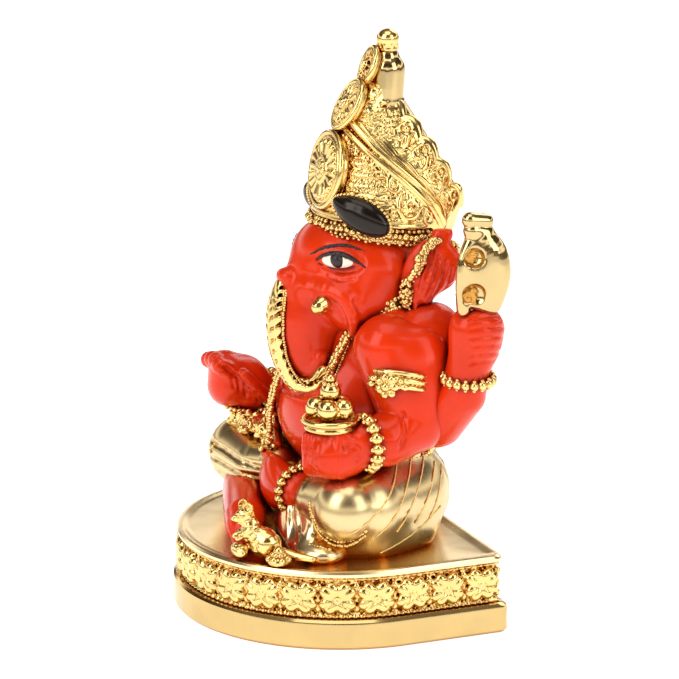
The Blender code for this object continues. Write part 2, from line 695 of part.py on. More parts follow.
def build_mouse():
    mouse = fuse("mouse", (
        ("ball", (13.2, -13.6, 15.0), (2.3, 2.7, 2.8)),
        ("ball", (12.0, -15.4, 16.6), (1.7, 1.7, 2.4)),
        ("ball", (11.2, -16.2, 18.8), (1.4, 1.9, 1.5), (20, 0, 0)),
        ("ball", (10.1, -15.7, 20.1), (0.6, 0.9, 0.95)),
        ("ball", (12.4, -15.5, 20.0), (0.6, 0.9, 0.95)),
        ("ball", (12.0, -16.8, 13.6), (2.0, 1.2, 1.2)),
        ("limb", (((14.4, -11.6, 13.4), 0.9), ((16.6, -9.4, 13.0), 0.7), ((18.6, -7.4, 12.9), 0.5))),
    ), 480, voxel=0.3, smooth=2)
    keep_between(mouse, (-40, -40, TIER_TOP + GAP), (40, 40, 40))
    heap = [("ball", (17.2, -12.4, 13.2), (2.0, 2.0, 1.2)), ("ball", (17.2, -12.4, 14.4), (0.9, 0.9, 0.8))]
    sweets = fuse("mouse_sweets", heap, 160, voxel=0.3, smooth=1)
    keep_between(sweets, (-40, -40, TIER_TOP + GAP), (40, 40, 40))
    carve(sweets, mouse)


def build_cords():
    half = ((5.9, -1.2, 36.4), (6.8, 0.4, 39.2), (7.4, 1.6, 42.2), (8.2, 3.0, 45.4), (9.2, 4.6, 47.0),
            (11.4, 8.6, 49.4), (10.4, 14.0, 50.4), (5.4, 17.2, 50.6), (0.0, 18.0, 50.6))
    route = list(half) + [(-x, y, z) for x, y, z in reversed(half[:-1])]
    stations = []
    for first, second in zip(route, route[1:]):
        for share in (0.0, 0.5):
            point = Vector(first).lerp(Vector(second), share)
            stations.append((point, 1.15 if share == 0.0 else 0.85))
    stations.append((Vector(route[-1]), 1.15))
    tube("necklace", stations)
    tube("sacred_thread", [((-1.6, -4.6, 37.6), 0.8), ((-2.4, -5.4, 34.0), 0.9), ((-3.4, -5.8, 30.6), 0.9)])


def separate():
    """Cut every seat between touching pieces, from small ornaments to the large bodies."""
    piece = {item.name: item for item in parts.objects}
    seats = (
        ("left_foot", "left_anklet"),
        ("right_lower_leg", "left_foot left_anklet mouse"),
        ("dhoti_front_pleat", "right_lower_leg left_foot left_anklet mouse mouse_sweets"),
        ("trunk_ornament", "head"),
        ("trunk_ornament", "sweets"),
        ("necklace", "trunk_ornament sweets"),
        ("head", "left_eye right_eye left_tusk right_tusk left_ear_ornament right_ear_ornament sweets "
                 "necklace"),
        ("left_ear", "head left_ear_ornament necklace torso"),
        ("right_ear", "head right_ear_ornament necklace torso"),
        ("waist_sash", "left_foot"),
        ("sacred_thread", "trunk_ornament head waist_sash"),
        ("torso", "head trunk_ornament necklace sacred_thread waist_sash"),
        ("lower_left_bangle", "sweet_bowl"),
        ("left_armlet", "torso"),
        ("right_armlet", "torso"),
        ("lower_left_arm", "torso lower_left_bangle left_armlet sweet_bowl necklace left_ear"),
        ("lower_right_arm", "torso lower_right_bangle right_armlet waist_sash necklace right_ear"),
        ("upper_left_arm", "torso lower_left_arm upper_left_bangle left_armlet noose necklace left_ear"),
        ("upper_right_arm", "torso lower_right_arm upper_right_bangle right_armlet goad necklace right_ear"),
        ("waist_sash", "lower_right_bangle"),
        ("dhoti", "right_lower_leg left_foot left_anklet dhoti_front_pleat waist_sash lower_left_arm "
                  "lower_right_arm lower_left_bangle lower_right_bangle"),
        ("crown_top_petal", "crown_urn crown_middle_medallion"),
        ("crown_middle_medallion", "crown_front_medallion"),
        ("crown_front_medallion", "crown_gem_left crown_gem_right crown_brow_band"),
        ("crown_brow_band", "crown_gem_left crown_gem_right"),
        ("crown_back_plate", "crown_middle_medallion crown_urn"),
        ("crown_body", "crown_front_medallion crown_middle_medallion crown_top_petal crown_urn "
                       "crown_back_plate crown_brow_band crown_gem_left crown_gem_right"),
    )
    for name, neighbours in seats:
        carve(piece[name], *[piece[word] for word in neighbours.split()])


def thin_all():
    keep_largest(reskin(parts.objects["crown_body"]))
    budgets = {"torso": 820, "dhoti": 900, "head": 1100, "crown_body": 900, "upper_left_arm": 440,
               "upper_right_arm": 400, "lower_left_arm": 560, "lower_right_arm": 520, "left_foot": 240,
               "right_lower_leg": 240, "dhoti_front_pleat": 220, "crown_back_plate": 460, "left_ear": 180,
               "right_ear": 180, "trunk_ornament": 360, "necklace": 340, "noose": 400, "goad": 200,
               "sweets": 300, "mouse": 400, "mouse_sweets": 120, "waist_sash": 240,
               "crown_front_medallion": 320}
    for name, budget in budgets.items():
        thin_out(parts.objects[name], budget)


MATERIAL_OF = {
    "red_enamel": ("head", "torso", "left_ear", "right_ear", "upper_left_arm", "upper_right_arm",
                   "lower_left_arm", "lower_right_arm", "left_foot", "right_lower_leg"),
    "black_enamel": ("crown_gem_left", "crown_gem_right"),
    "white_enamel": ("left_eye", "right_eye"),
}


def finish_looks():
    gold = make_material("gold_plate", GOLD, 0.16, 1.0)
    others = {
        "red_enamel": make_material("red_enamel", RED, 0.14, 0.0),
        "black_enamel": make_material("black_enamel", BLACK, 0.08, 0.0),
        "white_enamel": make_material("white_enamel", WHITE, 0.20, 0.0),
    }
    for item in parts.objects:
        item.data.materials.clear()
        chosen = gold
        for word, names in MATERIAL_OF.items():
            if item.name in names:
                chosen = others[word]
        item.data.materials.append(chosen)
        item.data.shade_smooth()
        item.data.set_sharp_from_angle(angle=math.radians(40))


def main():
    clear_scene()
    build_plinth()
    build_torso()
    build_legs()
    build_head()
    build_crown()
    build_arms()
    build_held_objects()
    build_mouse()
    build_cords()
    separate()
    thin_all()
    finish_looks()


cutters = make_collection("cutters")
parts = make_collection("ganesha_idol")
main()
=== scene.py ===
import math
import random
from math import cos, pi, radians, sin

import bpy
import numpy as np
from mathutils import Euler, Matrix, Vector


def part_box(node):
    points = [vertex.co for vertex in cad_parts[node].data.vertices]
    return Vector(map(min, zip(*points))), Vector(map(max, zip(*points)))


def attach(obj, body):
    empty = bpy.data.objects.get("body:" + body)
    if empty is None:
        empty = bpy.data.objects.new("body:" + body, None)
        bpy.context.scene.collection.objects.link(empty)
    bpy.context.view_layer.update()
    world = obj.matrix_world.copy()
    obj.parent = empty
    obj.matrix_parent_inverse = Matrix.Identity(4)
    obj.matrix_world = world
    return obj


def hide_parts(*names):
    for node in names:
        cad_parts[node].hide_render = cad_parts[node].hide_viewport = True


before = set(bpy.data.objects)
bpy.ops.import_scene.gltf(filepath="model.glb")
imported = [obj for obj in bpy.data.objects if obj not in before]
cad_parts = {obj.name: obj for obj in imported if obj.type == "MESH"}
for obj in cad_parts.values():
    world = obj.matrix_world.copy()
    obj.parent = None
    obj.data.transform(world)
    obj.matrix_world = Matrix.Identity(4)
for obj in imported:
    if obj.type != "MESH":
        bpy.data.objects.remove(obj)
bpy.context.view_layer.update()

# Looks of a small seated Ganesha idol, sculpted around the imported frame.
# Shape code works in millimetres in the CAD frame: +Z up, the figure faces -Y, its left side is +X.
MM = 0.001
ROOT = "root"
FINE, THIN = 0.2, 0.17        # cell sizes of the clay, for skin and for ornaments
FAR = 9.0                     # distance that stands for empty clay
FULL_TURN = 2 * pi
SIDES = ((1, "left"), (-1, "right"))
SIDE_X, SIDE_Y = 0.375, 0.927  # the way across the figure's left front, as seen from above
FROM_FRONT, FROM_BACK, FROM_ABOVE = (0, 1, 0), (0, -1, 0), (0, 0, -1)
EYE_TURN = -39
rng = random.Random(11)


def span(*nodes):
    """Lowest and highest corner of some CAD nodes, in millimetres."""
    corners = [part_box(node) for node in nodes]
    low = np.min([np.array(pair[0]) for pair in corners], axis=0) / MM
    high = np.max([np.array(pair[1]) for pair in corners], axis=0) / MM
    return low, high


def middle(node):
    low, high = span(node)
    return (low + high) / 2


def turns(count, shift=0):
    """Even angles round a full turn."""
    return [FULL_TURN * (index + shift) / count for index in range(count)]


def hoop(centre, radius, wire, count):
    """Stations of a level ring."""
    x, y, z = centre
    return [((x + radius * cos(a), y + radius * sin(a), z), wire)
            for a in np.linspace(0, FULL_TURN, count)]


# Clay: a distance field that shapes are melted into or pressed out of

def melt(first, second, soft):
    near = np.maximum(soft - np.abs(first - second), 0.0) / soft
    return np.minimum(first, second) - near * near * soft * 0.25


class Clay:
    def __init__(self, low, high, step):
        self.step = step
        self.low = np.array(low, float)
        count = np.ceil((np.array(high, float) - self.low) / step).astype(int) + 1
        self.axes = [self.low[i] + step * np.arange(count[i]) for i in range(3)]
        self.field = np.full(count, FAR, np.float32)

    def window(self, low, high):
        cut = []
        for i in range(3):
            first = int(np.clip(math.floor((low[i] - self.low[i]) / self.step), 0, self.field.shape[i]))
            last = int(np.clip(math.ceil((high[i] - self.low[i]) / self.step) + 1, 0, self.field.shape[i]))
            cut.append(slice(first, last))
        x, y, z = (axis[part] for axis, part in zip(self.axes, cut))
        return tuple(cut), x[:, None, None], y[None, :, None], z[None, None, :]

    def apply(self, cut, distance, soft, press):
        old = self.field[cut]
        if old.size == 0:
            return
        if press:
            self.field[cut] = -melt(-old, distance, soft)
        else:
            self.field[cut] = melt(old, distance, soft)

    def ball(self, centre, radii, turn=(0, 0, 0), soft=0.8, press=False):
        radii = np.array(radii if np.ndim(radii) else (radii,) * 3, float)
        spin = np.array(Euler([radians(a) for a in turn]).to_matrix())
        reach = np.sqrt(((spin * radii) ** 2).sum(1)) + 1.5 * soft + 2 * self.step
        centre = np.array(centre, float)
        cut, x, y, z = self.window(centre - reach, centre + reach)
        x, y, z = x - centre[0], y - centre[1], z - centre[2]
        near, far = 0.0, 0.0
        for i in range(3):
            along = x * spin[0, i] + y * spin[1, i] + z * spin[2, i]
            near = near + (along / radii[i]) ** 2
            far = far + (along / radii[i] ** 2) ** 2
        near = np.sqrt(near)
        self.apply(cut, near * (near - 1) / np.maximum(np.sqrt(far), 1e-6), soft, press)

    def balls(self, *rows):
        """Rows of centre, radii, softness and, where it has one, turn."""
        for centre, radii, soft, *turn in rows:
            self.ball(centre, radii, *turn, soft=soft)

    def limb(self, stations, soft=0.8, press=False):
        """A rounded tube through (x, y, z, radius) rows, or (point, radius) pairs."""
        table = np.array([(*row[0], row[1]) if len(row) == 2 else row for row in stations], float)
        points, radii = table[:, :3], table[:, 3]
        margin = radii.max() + 1.5 * soft + 2 * self.step
        cut, x, y, z = self.window(points.min(0) - margin, points.max(0) + margin)
        best = None
        for a, b, ra, rb in zip(points, points[1:], radii, radii[1:]):
            run = b - a
            length = max((run ** 2).sum(), 1e-9)
            share = ((x - a[0]) * run[0] + (y - a[1]) * run[1] + (z - a[2]) * run[2]) / length
            share = np.clip(share, 0, 1)
            gap = (x - a[0] - share * run[0]) ** 2 + (y - a[1] - share * run[1]) ** 2
            gap = np.sqrt(gap + (z - a[2] - share * run[2]) ** 2) - ra - share * (rb - ra)
            best = gap if best is None else np.minimum(best, gap)
        self.apply(cut, best, soft, press)

    def keep(self, axis, value, above=True):
        """Cut the clay flat at one height along an axis."""
        line = self.axes[axis].reshape([-1 if i == axis else 1 for i in range(3)])
        self.field = np.maximum(self.field, (value - line) if above else (line - value)).astype(np.float32)

    def drape(self, points, direction):
        """Where rays through the points, along the direction, first meet the clay."""
        direction = np.array(direction, float) / np.linalg.norm(direction)
        runs = np.arange(-40.0, 40.0, self.step * 0.5)
        found = []
        for point in points:
            track = np.array(point, float) + runs[:, None] * direction
            index = np.round((track - self.low) / self.step).astype(int)
            inside = ((index >= 0) & (index < self.field.shape)).all(1)
            index = np.clip(index, 0, np.array(self.field.shape) - 1)
            value = np.where(inside, self.field[index[:, 0], index[:, 1], index[:, 2]], FAR)
            hits = np.nonzero(value < 0)[0]
            if len(hits):
                found.append(track[hits[0]])
        return found

    def skin(self):
        """Surface nets: one vertex for each cell that the surface crosses."""
        field = np.pad(self.field, 1, constant_values=FAR)
        inside = field < 0
        cells = tuple(n - 1 for n in field.shape)
        corners = [(i, j, k) for i in (0, 1) for j in (0, 1) for k in (0, 1)]
        total = np.zeros(cells, np.int8)
        for i, j, k in corners:
            total += inside[i:i + cells[0], j:j + cells[1], k:k + cells[2]]
        active = (total > 0) & (total < 8)
        place = np.argwhere(active)
        number = np.full(cells, -1, np.int64)
        number[active] = np.arange(len(place))
        sums = np.zeros((len(place), 3))
        hits = np.zeros(len(place))
        for a in corners:
            for axis in range(3):
                if a[axis]:
                    continue
                b = tuple(1 if i == axis else a[i] for i in range(3))
                first = field[tuple((place + a).T)]
                last = field[tuple((place + b).T)]
                cross = (first < 0) != (last < 0)
                share = np.where(cross, first / np.where(cross, first - last, 1.0), 0.0)
                sums[cross] += np.array(a, float) + share[cross, None] * (np.array(b) - np.array(a))
                hits[cross] += 1
        verts = self.low + (place - 1 + sums / hits[:, None]) * self.step
        quads = []
        for axis in range(3):
            one = np.zeros(3, int)
            one[axis] = 1
            size = [n - 1 if i == axis else n for i, n in enumerate(field.shape)]
            start = inside[:size[0], :size[1], :size[2]]
            end = inside[one[0]:one[0] + size[0], one[1]:one[1] + size[1], one[2]:one[2] + size[2]]
            edges = np.argwhere(start != end)
            u, v = (axis + 1) % 3, (axis + 2) % 3
            edges = edges[(edges[:, u] > 0) & (edges[:, v] > 0)
                          & (edges[:, u] < cells[u]) & (edges[:, v] < cells[v])]
            du, dv = np.zeros(3, int), np.zeros(3, int)
            du[u], dv[v] = 1, 1
            loop = [number[tuple((edges - shift).T)] for shift in (0 * du, du, du + dv, dv)]
            loop = np.stack(loop, 1)
            flip = start[tuple(edges.T)]
            loop[~flip] = loop[~flip][:, ::-1]
            quads.append(loop)
        return verts, np.concatenate(quads)


def make_mesh(name, verts, quads):
    mesh = bpy.data.meshes.new(name)
    mesh.vertices.add(len(verts))
    mesh.vertices.foreach_set("co", (np.asarray(verts) * MM).astype(np.float32).ravel())
    mesh.loops.add(quads.size)
    mesh.loops.foreach_set("vertex_index", quads.astype(np.int32).ravel())
    mesh.polygons.add(len(quads))
    mesh.polygons.foreach_set("loop_start", np.arange(0, quads.size, quads.shape[1], dtype=np.int32))
    mesh.update()
    mesh.validate()
    mesh.shade_smooth()
    return mesh


def put(name, data):
    item = bpy.data.objects.new(name, data)
    bpy.context.scene.collection.objects.link(item)
    return item


def show(name, mesh, node=None, slot="gold_plate", look=None):
    """Put a finished mesh in the scene, riding on the root, in place of its CAD node."""
    item = put(name, mesh)
    mesh.materials.append(look or MATERIALS[slot])
    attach(item, ROOT)
    if node:
        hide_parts(node)
    return item


def show_clay(name, clay, node=None, slot="gold_plate", look=None, relax=2, bend=None):
    verts, quads = clay.skin()
    item = show(name, make_mesh(name, verts if bend is None else bend(verts), quads), node, slot, look)
    modifier = item.modifiers.new("relax", "SMOOTH")
    modifier.factor, modifier.iterations = 0.5, relax
    evaluated = item.evaluated_get(bpy.context.evaluated_depsgraph_get())
    mesh = bpy.data.meshes.new_from_object(evaluated)
    item.modifiers.clear()
    item.data = mesh
    mesh.shade_smooth()


def show_balls(name, balls, node=None):
    """balls: (centre, radius or radii) for each."""
    all_verts, all_tris = [], []
    for number, (centre, radii) in enumerate(balls):
        verts = BALL[0] * (radii if np.ndim(radii) else (radii,) * 3)
        all_verts.append(verts + np.array(centre, float))
        all_tris.append(BALL[1] + number * len(BALL[0]))
    show(name, make_mesh(name, np.concatenate(all_verts), np.concatenate(all_tris)), node)


# Beads: many small balls in one mesh

def unit_ball(rows=7, columns=12):
    verts = [(0, 0, 1)]
    for i in range(1, rows):
        for j in range(columns):
            a, b = pi * i / rows, FULL_TURN * j / columns
            verts.append((sin(a) * cos(b), sin(a) * sin(b), cos(a)))
    verts.append((0, 0, -1))
    tris = []
    for j in range(columns):
        k = (j + 1) % columns
        tris.append((0, 1 + j, 1 + k))
        tris.append((len(verts) - 1, len(verts) - 1 - columns + k, len(verts) - 1 - columns + j))
        for i in range(rows - 2):
            a, b = 1 + i * columns, 1 + (i + 1) * columns
            tris += [(a + j, b + j, b + k), (a + j, b + k, a + k)]
    return np.array(verts, float), np.array(tris)


BALL = unit_ball()


def resample(points, pitch):
    """Even steps along a polyline."""
    points = np.array(points, float)
    runs = np.concatenate([[0], np.cumsum(np.linalg.norm(np.diff(points, axis=0), axis=1))])
    count = max(2, int(round(runs[-1] / pitch)) + 1)
    wanted = np.linspace(0, runs[-1], count)
    return np.stack([np.interp(wanted, runs, points[:, i]) for i in range(3)], 1)


def smooth_line(points, pitch=0.3, rounds=3):
    """A polyline with its corners rounded off."""
    points = np.array(points, float)
    for _ in range(rounds):
        a, b = points[:-1], points[1:]
        mixed = np.stack([0.75 * a + 0.25 * b, 0.25 * a + 0.75 * b], 1).reshape(-1, 3)
        points = np.concatenate([points[:1], mixed, points[-1:]])
    return resample(points, pitch)


def string_of_beads(points, radius, spacing=1.7, jitter=0.12):
    balls = []
    for point in resample(smooth_line(points), radius * spacing):
        size = radius * (1 + jitter * (rng.random() * 2 - 1))
        shift = [radius * 0.25 * (rng.random() * 2 - 1) for _ in range(3)]
        balls.append((point + shift, size))
    return balls


def circle(centre, axis, radius, count):
    turn = Vector(axis).to_track_quat("Z", "Y")
    return [np.array(Vector(centre) + turn @ Vector((radius * cos(angle), radius * sin(angle), 0)))
            for angle in turns(count)]


# Materials

def add_node(tree, kind, place=None, **values):
    node = tree.nodes.new("ShaderNode" + kind)
    set_inputs(node, values)
    if place is not None:
        tree.links.new(place, node.inputs["Vector"])
    return node


def set_inputs(node, values):
    for name, value in values.items():
        node.inputs[name.replace("_", " ")].default_value = value


def add_ramp(tree, source, low, high, colours=((0, 0, 0), (1, 1, 1))):
    ramp = add_node(tree, "ValToRGB")
    for element, position, colour in zip(ramp.color_ramp.elements, (low, high), colours):
        element.position, element.color = position, tuple(colour) + (1,)
    tree.links.new(source, ramp.inputs["Fac"])
    return ramp.outputs["Color"]


def add_ripple(tree, place, shader, strength, size):
    """Slow swells of a casting, and a finer grain on top."""
    bumps = []
    for scale, share, height in ((size, 1, 0.3), (size * 5, 0.5, 0.05)):
        noise = add_node(tree, "TexNoise", place, Scale=scale, Detail=2)
        bumps.append(add_node(tree, "Bump", Strength=strength * share, Distance=height * MM))
        tree.links.new(noise.outputs["Fac"], bumps[-1].inputs["Height"])
    tree.links.new(bumps[0].outputs["Normal"], bumps[1].inputs["Normal"])
    tree.links.new(bumps[1].outputs["Normal"], shader.inputs["Normal"])


def coated_material(name, tone, painted_shade, dim, cloud_size, clouds, crevice, edge, ripple, ripple_size, values):
    """Clouded tone, a painted shade mixed into the crevices by an ambient occlusion mask, and a rippled
    surface.
    """
    material = bpy.data.materials.new(name)
    material.use_nodes = True
    tree = material.node_tree
    shader = tree.nodes["Principled BSDF"]
    set_inputs(shader, values)
    place = add_node(tree, "TexCoord").outputs["Object"]
    cloud = add_node(tree, "TexNoise", place, Scale=cloud_size, Detail=3)
    tint = add_ramp(tree, cloud.outputs["Fac"], *clouds, ([c * dim for c in tone], tone))
    # Painted shade: an ambient occlusion mask mixes a darker colour into crevices and recesses, where shade
    # falls.
    shade = add_node(tree, "AmbientOcclusion", Distance=crevice * MM)
    shade.samples = 6
    mix = add_node(tree, "MixRGB")
    mix.inputs[1].default_value = tuple(painted_shade) + (1,)
    tree.links.new(add_ramp(tree, shade.outputs["AO"], edge, 0.85), mix.inputs[0])
    tree.links.new(tint, mix.inputs[2])
    tree.links.new(mix.outputs["Color"], shader.inputs["Base Color"])
    add_ripple(tree, place, shader, ripple, ripple_size)
    return material, cloud.outputs["Fac"]


def gold_material(name, tone, painted_shade, roughness, ripple, ripple_size, crevice=0.9):
    material, cloud = coated_material(name, tone, painted_shade, 0.90, 160, (0.35, 0.70), crevice, 0.30, ripple,
        ripple_size, {"Metallic": 1.0})
    tree = material.node_tree
    wear = add_node(tree, "MapRange", To_Min=roughness * 0.75, To_Max=roughness * 1.5)
    tree.links.new(cloud, wear.inputs["Value"])
    tree.links.new(wear.outputs["Result"], tree.nodes["Principled BSDF"].inputs["Roughness"])
    return material


def enamel_material(name, tone, painted_shade, roughness, ripple, coat, specular=0.5):
    return coated_material(name, tone, painted_shade, 0.86, 220, (0.30, 0.72), 1.2, 0.35, ripple, 300, {
        "Roughness": roughness, "Coat Weight": coat, "Coat Roughness": 0.05, "Specular IOR Level": specular,
        "Specular Tint": tuple(0.35 + 0.65 * c / max(tone) for c in tone) + (1,)})[0]


# The second colour given to each material is its painted shade, mixed into crevices by ambient occlusion.
GOLD_TONE, GOLD_PAINTED_SHADE = (0.84, 0.61, 0.235), (0.42, 0.16, 0.02)
MATERIALS = {"gold_plate": gold_material("gold_plate_cast", GOLD_TONE, GOLD_PAINTED_SHADE, 0.15, 0.22, 420),
    "red_enamel": enamel_material("red_enamel_gloss", (0.70, 0.032, 0.002), (0.19, 0.004, 0.001), 0.24, 0.18,
    0.15), "black_enamel": enamel_material("black_enamel_gloss", (0.008, 0.006, 0.005),
    (0.002, 0.002, 0.002), 0.16, 0.05, 0.10, 0.28), "white_enamel": enamel_material("white_enamel_gloss",
    (0.86, 0.80, 0.66), (0.45, 0.36, 0.24), 0.22, 0.05, 0.5), }
SMOOTH_GOLD = gold_material("gold_plate_smooth", (0.78, 0.59, 0.29), (0.38, 0.15, 0.03), 0.13, 0.14, 130, 0.5)
# Painted light: a lighter copy of the gold plate for the plinth tier and the front cloth; its satin roughness
# is real.
LIT_SATIN_GOLD = gold_material("gold_plate_satin_lit", (0.98, 0.77, 0.44), (0.66, 0.32, 0.05), 0.22, 0.14, 160, 3.5)
# Painted shade: a darker copy of the gold plate for the dhoti; its satin roughness is real.
SHADED_PALE_GOLD = gold_material("gold_plate_pale_shaded", (0.72, 0.56, 0.29), (0.50, 0.22, 0.03), 0.25, 0.14, 140, 3.0)
# Painted shade: a darker copy of the gold plate for the slab's sides.
SHADED_SIDE_GOLD = gold_material("gold_plate_side_shaded", (0.60, 0.43, 0.18), (0.34, 0.14, 0.03), 0.11, 0.30, 70, 0.8)
# Painted shade: a dark amber copy of the gold plate for the noose's recess floors.
RECESS_SHADE_GOLD = gold_material("gold_plate_recess_shade", (0.62, 0.31, 0.07), (0.20, 0.06, 0.01), 0.34, 0.5, 700, 0.6)
# Painted shade: a darker copy of the gold plate for the noose and the urn; its low, mirror-like roughness is
# real.
SHADED_MIRROR_GOLD = gold_material("gold_plate_mirror_shaded", (0.60, 0.45, 0.21), (0.28, 0.12, 0.02), 0.09, 0.12, 110, 0.6)
INK = enamel_material("black_enamel_line", (0.008, 0.006, 0.006), (0.003, 0.002, 0.002), 0.42, 0.04, 0.1)


# Plinth

def plinth_outline(inset, arc=96, corner=1.6):
    low, high = span("plinth_slab")
    half, rear = (high[0] - low[0]) / 2 - inset, high[1] - inset
    centre = low[1] + (high[0] - low[0]) / 2
    points = [(half * cos(pi + pi * s / arc), centre + half * sin(pi + pi * s / arc))
              for s in range(arc + 1)]
    for side, start in ((1, 0), (-1, 90)):
        for step in range(7):
            angle = radians(start + 15 * step)
            points.append((side * (half - corner) + corner * cos(angle),
                           rear - corner + corner * sin(angle)))
    return points


def stacked(name, rings):
    """A solid whose outline steps through (inset, height) pairs from its underside to its top."""
    loops = [[(x, y, z) for x, y in plinth_outline(inset)] for inset, z in rings]
    count = len(loops[0])
    verts = [p for loop in loops for p in loop]
    faces = []
    for row in range(len(loops) - 1):
        for i in range(count):
            j = (i + 1) % count
            a, b = row * count, (row + 1) * count
            faces.append((a + i, a + j, b + j, b + i))
    for row, reverse in ((0, True), (len(loops) - 1, False)):
        verts.append(tuple(np.mean(loops[row], axis=0)))
        hub = len(verts) - 1
        for i in range(count):
            a, b = row * count + i, row * count + (i + 1) % count
            faces.append((b, a, hub, hub) if reverse else (a, b, hub, hub))
    mesh = bpy.data.meshes.new(name)
    mesh.from_pydata([Vector(v) * MM for v in verts], [], [f[:3] if f[2] == f[3] else f for f in faces])
    mesh.shade_smooth()
    mesh.set_sharp_from_angle(angle=radians(35))
    return mesh


def build_plinth():
    slab_top = span("plinth_slab")[1][2]
    tier_top = span("plinth_tier")[1][2]
    # The slab's sides take the darker, painted-shade copy of the gold plate.
    show("slab_cast", stacked("slab_cast", ((0.7, 0.0), (0.25, 0.12), (0.0, 0.5), (0.05, 2.2),
        (0.0, slab_top - 0.9), (0.12, slab_top - 0.35), (0.5, slab_top - 0.02), (2.0, slab_top - 0.02),
        (3.4, slab_top - 0.2))), "plinth_slab", look=SHADED_SIDE_GOLD)
    show("tier_cast", stacked("tier_cast", ((2.6, slab_top - 0.4), (2.6, tier_top - 1.4),
        (1.2, tier_top - 1.3), (0.8, tier_top - 0.9), (0.75, tier_top - 0.45), (1.0, tier_top - 0.1),
        (1.4, tier_top), (1.8, tier_top - 0.05), (2.2, tier_top - 0.3), (3.0, tier_top - 0.4),
        (8.0, tier_top - 0.36), (15.0, tier_top - 0.4))), "plinth_tier", look=LIT_SATIN_GOLD)
    low, high = slab_top - 0.1, tier_top - 1.0
    inset = 2.3
    outer, far = span("plinth_slab")
    half = (far[0] - outer[0]) / 2 - inset
    centre_y = outer[1] + (far[0] - outer[0]) / 2
    rear = far[1] - 1.6
    straight = rear - centre_y
    length = 2 * straight + pi * half
    clay = Clay((-0.6, low - 0.2, -1.6), (length + 0.6, high + 0.2, 2.2), THIN)
    z, d = clay.axes[1][:, None], clay.axes[2]
    clay.field[:] = np.maximum(np.maximum(d - 0.25, -1.2 - d), np.maximum(low - z, z - high))
    clay.keep(0, 0.0)
    clay.keep(0, length, above=False)
    for height in (low + 0.35, high - 0.35):
        clay.limb(((0, height, 0.55, 0.36), (length, height, 0.55, 0.36)), soft=0.2)
        for i in range(int(length / 1.0)):
            clay.ball((i + rng.uniform(-0.1, 0.1), height, 0.75), (0.42, 0.34, 0.40), soft=0.12)
    count = 19
    pitch = length / count
    mid = (low + high) / 2
    for i in range(int(length / 0.62)):
        for row in range(8):
            size = rng.uniform(0.20, 0.34)
            clay.ball((i * 0.62 + rng.uniform(-0.15, 0.15), low + 0.9 + row * (high - low - 1.8) / 7,
                       0.40 + rng.uniform(0, 0.25)), size, soft=0.12)
    for i in range(count):
        at = (i + 0.5) * pitch
        for petal in range(4):
            angle = pi / 4 + petal * pi / 2 + rng.uniform(-0.08, 0.08)
            out = (cos(angle), sin(angle))
            for lobe in (-1, 1):
                turned = angle + lobe * 0.31
                clay.ball((at + 1.80 * cos(turned), mid + 1.52 * sin(turned), 0.85), (1.35, 0.98, 1.0),
                          turn=(0, 0, math.degrees(angle + lobe * 0.12)), soft=0.2)
            clay.limb(((at + 0.7 * out[0], mid + 0.7 * out[1], 1.85, 0.12),
                       (at + 2.9 * out[0], mid + 2.6 * out[1], 1.7, 0.20)), soft=0.14, press=True)
        clay.ball((at, mid, 1.35), (0.62, 0.62, 0.45), soft=0.10)
        clay.ball((at, mid, 1.85), (0.26, 0.26, 0.3), soft=0.10, press=True)
    for i in range(count + 1):
        for side in (-1, 1):
            clay.ball((i * pitch, mid + side * 1.75, 0.6), (0.5, 0.6, 0.5), soft=0.12)
        clay.ball((i * pitch, mid, 0.65), (0.32, 0.72, 0.5), soft=0.12)

    def bend(verts):
        run = verts[:, 0]
        out = np.empty_like(verts)
        angle = pi + np.clip((run - straight) / half, 0, pi)
        nx, ny = np.cos(angle), np.sin(angle)
        out[:, 0] = nx * (half + verts[:, 2])
        out[:, 1] = centre_y + ny * (half + verts[:, 2])
        out[:, 1] += np.clip(straight - run, 0, None) + np.clip(run - length + straight, 0, None)
        out[:, 2] = verts[:, 1]
        return out

    show_clay("frieze_flowers", clay, "floral_frieze", relax=1, bend=bend)


# Body and cloth

def side_points(pairs, side=1):
    """Points given as (along, height) in the plane that faces the figure's left front, or mirrored."""
    return [(side * SIDE_X * along, SIDE_Y * along, height) for along, height in pairs]


def side_way(side=1):
    return (-side * SIDE_Y, SIDE_X, 0.0)


def engrave(clay, points, way, radius=0.22, depth=0.0, soft=0.25, raise_it=False):
    found = clay.drape(resample(smooth_line(points), 0.5), way)
    if len(found) > 1:
        unit = np.array(way, float) / np.linalg.norm(way)
        stations = [(p + unit * depth, radius) for p in found]
        clay.limb(stations, soft=soft, press=not raise_it)


def side_drape(clay, pairs, side=1, pitch=0.5):
    """A rounded line laid on the clay from the figure's left front, or mirrored."""
    return clay.drape(resample(smooth_line(side_points(pairs, side)), pitch), side_way(side))


def score(clay, pairs, radius=0.22, side=1, **how):
    """A line engraved from the figure's left front, or mirrored."""
    engrave(clay, side_points(pairs, side), side_way(side), radius, **how)


def clay_for(node, step, extra=2.5):
    low, high = span(node)
    return Clay(low - extra, high + extra, step)


TRIM = []


